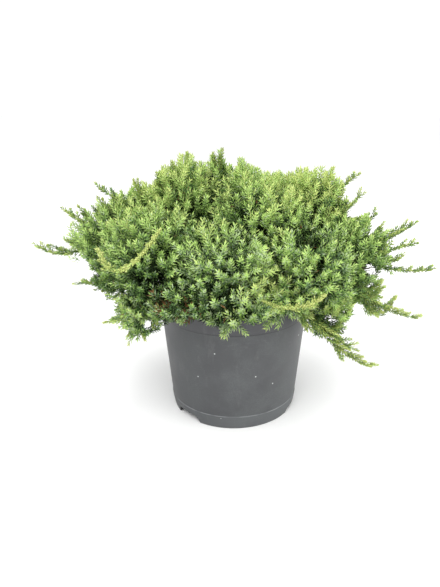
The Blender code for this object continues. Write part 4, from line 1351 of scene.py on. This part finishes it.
def whipShoots(whip, random):
    # side shoots left and right in turn, leaning on to the tip, and appressed needles between
    look, first, parts = whipLook, whipLook["bareShare"], whipLook["stemParts"]
    last, end = look["lastShares"]
    ofSides, ofStem = (whip.mass.glow * share for share in look["massGlow"])
    tip = whip.tip - look["cutBack"] * unit(whip.tip - whip.middle)
    curve = tuple(c[None] for c in (whip.start, whip.middle, tip))
    spacing = look["spacing"] / np.linalg.norm(tip - whip.start)
    t = np.arange(last, first, -spacing)[None]
    stray = random.uniform(-look["stray"], look["stray"], t.shape)
    t = np.clip(t + stray * spacing, 0.0, end)
    point, heading = alongCurve(curve, t)
    side, other = acrossOf(heading)
    leftRight = side * np.where(np.arange(t.shape[1]) % 2, 1.0, -1.0)[None, :, None]
    drift = random.normal(0, look["drift"], t.shape)[..., None]
    radial = unit(leftRight + (look["droop"] + drift) * -other)
    radial = radial * np.sign((radial * leftRight).sum(-1, keepdims=True))
    angle = math.radians(look["angle"])
    aim = unit(heading * math.cos(angle) + radial * math.sin(angle) + look["rise"] * skyward)
    inward = np.clip((1.0 - t) / (1.0 - first), 0.0, 1.0)
    reach = blend(inward, look["side"][1], look["side"][0] * whip.fullness)
    reach = reach * random.uniform(*look["varied"], t.shape)
    glow = look["glow"] + ofSides - look["footDimmer"] * inward
    glow = glow + random.normal(0, look["glowSpread"], t.shape)
    opened, closed = look["sideNeedles"]
    sides = shoots(
        point[0], aim[0], look["bend"] * heading[0], length=reach[0], needle=look["needle"],
        openAngle=opened, closeAngle=closed, spacing=look["sideWhorls"],
        glow=glow[0] + whip.lighter, gain=look["sideGain"], blue=look["blue"],
        stem=look["sideStem"],
    )
    sides = chosen(sides, clearOfSky(alongShoots(sides, 0.9)[0]))
    # the stem in parts whose needles close and shorten towards the tip
    shares = np.linspace(first, 1.0, parts + 1)
    opened, closed, atTip = look["stemNeedles"]
    angles = blend(np.arange(parts) / parts, opened, closed)
    shorter = blend(np.arange(parts) / (parts - 1), 1.0, look["stemShorter"])
    stem = stemShoots(
        curve, shares, needle=look["needle"] * shorter,
        openAngle=angles, closeAngle=np.append(angles[1:], atTip), spacing=look["stemWhorls"],
        glow=look["glow"] + ofStem + look["stemSlope"] * shares[:-1] - look["stemDimmer"],
        gain=look["stemGain"], blue=look["blue"], stem=look["stemRadius"],
    )
    return together([sides, stem]), curve


# Runners: pale yellow young stems that lie over the front: start, bend and tip, and fullness
runners = (
    ((-28.6, 0.1366, 0.2441), (-31.2, 0.1614, 0.2178), (-36.3, 0.1674, 0.2094), 0.8),
    ((-34.7, 0.1629, 0.2128), (-41.5, 0.1749, 0.1995), (-45.7, 0.1717, 0.2217), 1.4),
    ((11.0, 0.1345, 0.179), (20.0, 0.16, 0.17), (29.0, 0.163, 0.186), 1.4),
)

runnerLook = {
    "spacing": 0.0042,
    "leastCount": 3,
    "shares": (0.12, 0.97),  # of the first and the last side shoot
    "stray": 0.02,
    "side": 0.0042,
    "varied": (0.6, 1.1),
    "angle": 48.0,
    "rise": 0.20,
    "bend": 0.2,
    "needle": 0.0032,
    "whorls": 0.0015,
    "sideNeedles": (42.0, 14.0),
    "sideGain": 0.34,
    "sideStem": 0.0005,
    "sideTone": (-0.04, 0.24),  # mean and spread of its random change
    "sideEven": 0.7,  # share along the runner where the slope changes nothing
    "stemNeedles": (26.0, 22.0),
    "stemGain": 0.05,
    "stemRadius": 0.0013,
    "stemTone": (0.06, 0.16),
    "stemEven": 0.6,
    "stemParts": 9,
    "overlap": 1.5,
    "slope": 0.24,  # how much lighter the tip is than the foot
    "glow": 0.98,
    "blue": -0.9,
}


def runnerShoots(runner, random):
    # short blunt side shoots all round a thick stem wrapped in close needles
    look, fullness = runnerLook, runner[3]
    curve = tuple(polar(*place)[None] for place in runner[:3])
    length = sum(np.linalg.norm(onward - here) for here, onward in zip(curve, curve[1:]))
    count = max(look["leastCount"], round(length / look["spacing"]))
    stray = random.uniform(-look["stray"], look["stray"], (1, count))
    t = np.linspace(*look["shares"], count)[None] + stray
    point, heading = alongCurve(curve, t)
    turn = (np.arange(count) * goldenTurn)[None, :, None]
    aim = leaning(heading, turn, math.radians(look["angle"]), look["rise"])
    common = {"needle": look["needle"], "blue": look["blue"], "spacing": look["whorls"]}
    opened, closed = look["sideNeedles"]
    reach = look["side"] * fullness * random.uniform(*look["varied"], count)
    glow = look["glow"] + look["slope"] * (t[0] - look["sideEven"])
    glow = glow + random.normal(*look["sideTone"], count)
    sides = shoots(
        point[0], aim[0], look["bend"] * heading[0], length=reach, glow=glow,
        openAngle=opened, closeAngle=closed, gain=look["sideGain"], stem=look["sideStem"], **common,
    )
    shares = np.arange(look["stemParts"]) / look["stemParts"]
    opened, closed = look["stemNeedles"]
    brighter = look["slope"] * (shares - look["stemEven"])
    brighter = brighter + random.normal(*look["stemTone"], len(shares))
    stem = stemShoots(
        curve, np.append(shares, 1.0), overlap=look["overlap"], glow=look["glow"] + brighter,
        openAngle=opened, closeAngle=closed, gain=look["stemGain"], stem=look["stemRadius"],
        **common,
    )
    return together([sides, stem])


def thinned(some, placed):
    # No shoot stays in a gap with the sky, in a clear hollow or over the skyline. Those that aren't
    # placed also go where they hang under the hem, and from every hollow unless they are plain.
    look = foliage
    plain = some["gain"] < look["plainGain"]
    sag = np.where(plain, innerLook["sag"], 0.0)[:, None] * skyward
    point = alongShoots(some, 0.6)[0] - sag
    keep = clearOfGaps(point) & (plain | outside(point, hollows))
    crown = together([chosen(some, keep), placed])
    tips, middles = alongShoots(crown, 1.0)[0], alongShoots(crown, 0.5)[0]
    plain = crown["gain"] < look["plainGain"]
    keep = overSkyline(tips) < look["overShoot"] - np.where(plain, innerLook["over"], 0.0)
    keep &= clearOfSky(tips) & clearOfSky(middles) & outside(tips, clearHollows)
    return chosen(crown, keep)


def lit(crown):
    # painted light and shade: plain shoots near the mass's surface turn lighter, buried ones
    # dimmer, less so near the skyline, and each tone changes what lies round it on the front by a
    # bell of its radius
    look, tips = foliage, alongShoots(crown, 0.8)[0]
    deep = depthIn(tips)
    bare = (crown["gain"] < look["plainGain"]) * np.clip(1.0 - deep / look["bareOver"], 0.0, 1.0)
    glow = crown["glow"] + look["bareGlow"] * bare
    buried = np.clip((deep - look["buriedFrom"]) / look["buriedOver"], 0.0, 1.0)
    below = np.clip(-overSkyline(tips) / look["buriedBelow"], look["buriedLeast"], 1.0)
    glow = glow + look["buriedGlow"] * buried * below
    x, height = seenAt(tips)
    for across, level, radius, change in tones:
        near = np.exp(-((x - across) ** 2 + (height - level) ** 2) / radius**2)
        glow = glow + change * near * (tips[:, 1] < 0.0)
    dry, point = crown["dry"], alongShoots(crown, 0.6)[0]
    for *place, radius, share in deadSprays:
        near = np.linalg.norm(point - polar(*place), axis=1) < radius
        dry = np.where(near, share, dry)
    return {**crown, "glow": glow, "dry": dry}


def clearOfPot(some):  # true where no point of a shoot is inside the pot or its wall
    keep = np.ones(len(some["length"]), bool)
    for share in (0.0, 0.5, 1.0):
        place, _ = alongShoots(some, share)
        reach = np.hypot(place[:, 0], place[:, 1])
        wall = potWallRadius(place[:, 2]) + foliage["potClear"]
        keep &= (place[:, 2] > potShape["rim"][1] + foliage["potClear"]) | (reach > wall)
        keep &= place[:, 2] > foliage["floorClear"]
    return keep


def needlesOf(some, random):
    # whorls of three awl-shaped needles along each shoot, a sixth of a turn on at every whorl:
    # needle = heading * cos(angle) + radial * sin(angle), the angle closing towards the tip. Each
    # is an awl with a keel under it, in two halves of two faces: a foot in painted shade and a tip
    # in painted light.
    look = needleLook
    whorls = np.maximum(2, np.round(some["length"] / some["spacing"])).astype(int)
    owner = np.repeat(np.arange(len(whorls)), whorls)
    step = np.arange(len(owner)) - np.repeat(np.cumsum(whorls) - whorls, whorls)
    t = 1.0 - (1.0 - (step + look["firstWhorl"]) / whorls[owner]) ** look["crowding"]
    owner, t, step = (np.repeat(v, 3) for v in (owner, t, step))
    count = len(owner)
    third = np.tile(np.arange(3), count // 3)
    own = chosen(some, owner)
    place, heading = alongShoots(own, t)
    side, other = acrossOf(heading)
    phase = random.uniform(0, 2 * math.pi, len(whorls))[owner]
    turn = phase + step * math.pi / 3 + third * 2 * math.pi / 3
    turn = turn + random.normal(0, look["turnStray"], count)
    radial = np.cos(turn)[:, None] * side + np.sin(turn)[:, None] * other
    angle = blend(t**3, own["openAngle"], own["closeAngle"])
    angle = np.radians(angle + random.normal(0, look["angleStray"], count))[:, None]
    aim = heading * np.cos(angle) + radial * np.sin(angle)
    face = unit(heading * np.sin(angle) - radial * np.cos(angle))
    length = own["needle"] * blend(t**2, *look["shorter"]) * random.uniform(*look["varied"], count)
    foot = place + radial * (own["stem"] * 0.5)[:, None]
    half = look["width"] / 2 * np.cross(aim, face)
    belly = foot + aim * (length * look["widest"])[:, None]
    keel = belly - face * look["keel"]
    left, right = belly + half, belly - half
    end = foot + aim * length[:, None]
    points = [np.stack((foot, right, keel, left), 1), np.stack((end, left, keel, right), 1)]
    light = own["glow"] + own["gain"] * (t - look["gainEven"])
    light = light + random.normal(0, look["glowSpread"], count)
    light = np.concatenate((light + look["footGlow"], light + look["tipGlow"]))
    twice = [np.tile(v, 2) for v in (own["blue"], own["dry"], random.uniform(size=count))]
    return np.concatenate(points), light, *twice


# Needle colours: plain finishes dealt out by how bright a needle is, its own tone together with
# painted light and shade, and how blue its spray is
needleColours = {
    "straw": (0.480, 0.660, 0.205),
    "lime": (0.335, 0.510, 0.122),
    "fresh": (0.230, 0.380, 0.092),
    "leaf": (0.145, 0.262, 0.072),
    "moss": (0.081, 0.157, 0.045),
    "silver": (0.340, 0.440, 0.240),
    "glaucous": (0.140, 0.225, 0.125),
    "deep": (0.040, 0.080, 0.022),
    "shade": (0.011, 0.023, 0.006),
    "dry": (0.170, 0.088, 0.034),
    "cream": (0.560, 0.655, 0.220),
    "frost": (0.470, 0.590, 0.320),
    "wheat": (0.560, 0.600, 0.225),
    "sallow": (0.455, 0.530, 0.150),
    "olive": (0.322, 0.398, 0.090),
    "bronze": (0.212, 0.286, 0.062),
}
# The plain scale, each up to a light, the bluer ones between two, and the warmer ones
brightness = {
    "shade": 0.08, "deep": 0.24, "moss": 0.38, "leaf": 0.52, "fresh": 0.68, "lime": 0.86,
    "straw": 1.30, "cream": 9.0,
}
bluer = {"glaucous": (0.22, 0.52), "silver": (0.52, 0.74), "frost": (0.74, 1.10)}
warmer = {"cream": "wheat", "straw": "sallow", "lime": "olive", "fresh": "bronze"}


def dealColours(light, blue, dry, lot):
    # the first step of the scale that the light stays under. A share of the needles as large as
    # the blue takes the bluer one instead, and where the blue is under nought, the warmer one.
    names = list(needleColours)
    number = {name: k for k, name in enumerate(names)}
    scale = np.array([number[name] for name in brightness])
    dealt = scale[np.searchsorted(list(brightness.values()), light)]
    chance = (lot * 7.0) % 1.0
    for cool, (low, high) in bluer.items():
        dealt = np.where((chance < blue) & (light >= low) & (light < high), number[cool], dealt)
    for green, warm in warmer.items():
        dealt = np.where((chance < -blue) & (dealt == number[green]), number[warm], dealt)
    return np.where(lot < dry, number["dry"], dealt)


def needleFinish(name, colour):  # the dark ones deep in the crown shine less
    gloss = min(0.35, 0.04 + colour[1])
    values = {"Base Color": (*colour, 1.0), "Roughness": 0.52, "Specular IOR Level": gloss}
    return newFinish("needles " + name, values)[0]


def buildNeedles(some, random):
    # the halves of each colour as kites of two faces, joined in even parts
    points, light, blue, dry, lot = needlesOf(some, random)
    dealt = dealColours(light, blue, dry, lot)
    pieces = []
    for k, (name, colour) in enumerate(needleColours.items()):
        group = points[dealt == k]
        if not len(group):
            continue
        finish = needleFinish(name, colour)
        parts = math.ceil(len(group) / needleLook["mostHalves"])
        for part, halves in enumerate(np.array_split(group, parts)):
            faces = fourByFour(((0, 1, 2), (0, 2, 3)), len(halves))
            label = f"needles_{name}" + (f"_{part + 1}" if parts > 1 else "")
            pieces.append(addMesh(label, halves, faces, finish))
        print("needles", name, len(group))
    return pieces


def plainFinish(name, colour, roughness):  # one even colour
    return newFinish(name, {"Base Color": (*colour, 1.0), "Roughness": roughness})[0]


twigLook = {
    "sag": 0.012,  # by which a gap shows under a leader
    "leader": (0.00085, 0.00035),
    "leaderSteps": 7,
    "leaderEnd": 0.90,
    "shootStart": 1.3,
    "shootEnd": 0.96,
    "paleGlow": 0.98,
    "thickStem": 0.001,
    "wood": (0.105, 0.092, 0.040),
    "green": (0.165, 0.265, 0.078),
    "pale": (0.470, 0.530, 0.165),
}


def buildTwigs(curves, some):
    # woody leaders as three-sided tubes, and each shoot's own axis as a slim three-sided spike,
    # pale on the brightest shoots and on thick stems
    look = twigLook
    start, middle, tip = (np.vstack(parts) for parts in zip(*curves))
    low = (start + 2 * middle + tip) / 4 - look["sag"] * skyward
    kept = clearOfGaps(low) & outside(tip, hollows) & (overSkyline(tip) < 0.0)
    curve, steps = (start[kept], middle[kept], tip[kept]), look["leaderSteps"]
    t = np.broadcast_to(np.linspace(0.0, look["leaderEnd"], steps), (kept.sum(), steps))
    tubes = tubeMesh(alongCurve(curve, t)[0], blend(t, *look["leader"]), 3)
    finish = plainFinish("twig wood", look["wood"], 0.8)
    built = [addMesh("leader_twigs", *tubes, finish, smooth=True, sharpAbove=80.0)]
    pale = (some["glow"] > look["paleGlow"]) | (some["stem"] > look["thickStem"])
    for name, group in (("green", ~pale), ("pale", pale)):
        own = chosen(some, group)
        side, other = acrossOf(own["heading"])
        corners = []
        for turn in np.arange(3) * 2 * math.pi / 3:
            radial = math.cos(turn) * side + math.sin(turn) * other
            corners.append(own["start"] + radial * own["stem"][:, None] * look["shootStart"])
        corners.append(alongShoots(own, look["shootEnd"])[0])
        points = np.stack(corners, 1)
        faces = fourByFour(((1, 0, 3), (2, 1, 3), (0, 2, 3)), len(points))
        finish = plainFinish(f"{name} shoot", look[name], 0.6)
        built.append(addMesh(f"{name}_shoots", points, faces, finish))
    return built


# Stage: pale floor, soft light and the camera

stage = {
    "floor": 7.0,
    "floorTones": ((0.925, 0.925, 0.927), (0.968, 0.968, 0.968)),  # painted shade: darker near the pot, lighter away from it
    "floorReach": (0.2, 1.3),
    "camera": (0.0, -0.600, 0.3625),
    "aim": (0.0, 0.0, 0.136),
    "lens": 33.573,
    "shift": -0.0236,
    "world": 1.04,
    "key": ((-0.22, -1.05, 1.35), 0.9, 18.0),
    "back": ((0.25, 0.55, 1.45), 1.2, 9.0),
    "fill": ((1.30, -0.35, 0.30), 0.8, 6.0),
}


def aimed(thing, place, aim):  # put in its place, and turned to look at the aim
    thing.location = place
    thing.rotation_euler = (Vector(aim) - Vector(place)).to_track_quat("-Z", "Y").to_euler()


def buildStage():
    half = stage["floor"]
    corners = np.array(((-half, -half, 0), (half, -half, 0), (half, half, 0), (-half, half, 0)))
    made, shader, at = newFinish("pale floor", {"Roughness": 0.9})
    away = at.distance(places(at), (0.0, 0.0, 0.0)).between(*stage["floorReach"])
    feed(shader, "Base Color", at.colours(away, *stage["floorTones"]))
    floor = addMesh("floor", corners, np.array(((0, 1, 2, 3),)), made)
    floor.location.z = -0.0002
    for name in ("key", "back", "fill"):
        place, size, power = stage[name]
        data = bpy.data.lights.new(name, "AREA")
        data.size, data.energy = size, power
        light = bpy.data.objects.new(name, data)
        aimed(light, place, stage["aim"])
        bpy.context.scene.collection.objects.link(light)
    world = bpy.data.worlds.new("studio")
    world.use_nodes = True
    sky = world.node_tree.nodes["Background"].inputs
    sky["Color"].default_value, sky["Strength"].default_value = (1.0, 1.0, 1.0, 1.0), stage["world"]
    bpy.context.scene.world = world
    data = bpy.data.cameras.new("camera")
    data.lens, data.shift_x = stage["lens"], stage["shift"]
    camera = bpy.data.objects.new("camera", data)
    aimed(camera, stage["camera"], stage["aim"])
    bpy.context.scene.collection.objects.link(camera)
    bpy.context.scene.camera = camera
    bpy.context.scene.view_settings.view_transform = "Standard"


def growShoots(stems, random):
    # every shoot that carries needles, and the curves of the leaders under them
    sets, placed, curves = [], [], []
    fillRandom = np.random.default_rng(foliage["seed"] + 1)
    for mass in masses:
        curve, glow, blue = plumesOf(mass, stems[mass.name], random)
        scale = (mass.wide + mass.tall) / foliage["meanSize"]
        sets.append(dressed(curve, glow, blue, 0.6 + 0.4 * scale, random))
        sets.append(innerOf(mass, random))
        sets.append(fillersOf(mass, fillRandom))
        curves.append(curve)
        for curve, glow, blue, scales in accentsOf(mass, stems[mass.name], random):
            placed.append(dressed(curve, glow, blue, scales, random))
            curves.append(curve)
    sets = [spaced(lit(thinned(together(sets), together(placed))))]
    print("crown", len(sets[0]["length"]))
    for whip in allWhips():
        found, curve = whipShoots(whip, random)
        sets.append(found)
        curves.append(curve)
    sets += [runnerShoots(runner, random) for runner in runners]
    grown = together(sets)
    grown = chosen(grown, clearOfPot(grown))
    print("shoots", len(grown["length"]))
    return grown, curves


def main():
    random = np.random.default_rng(foliage["seed"])
    buildStage()
    print("stage is set")

    pot = buildPot(plasticFinish())
    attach(pot, "root")
    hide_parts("pot")
    print("pot is turned")

    soil = buildCompost(compostFinish(), random)
    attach(soil, "root")
    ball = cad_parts["root_ball"]
    for place in ball.material_slots:
        place.material = soil.data.materials[0]
    print("compost is filled")

    wood, stems = buildLimbs(barkFinish(), random)
    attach(wood, "root")
    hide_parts("trunk", *["bough_" + m.name for m in masses])
    print("limbs are grown")

    grown, curves = growShoots(stems, random)
    foliageNodes = ["foliage_" + m.name for m in masses]
    needles = buildNeedles(grown, random)
    for piece in needles:
        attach(piece, "root")
        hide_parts(*foliageNodes)
    for piece in buildTwigs(curves, grown):
        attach(piece, "root")
        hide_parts(*foliageNodes)
    print("needle triangles", sum(len(piece.data.polygons) for piece in needles))


main()
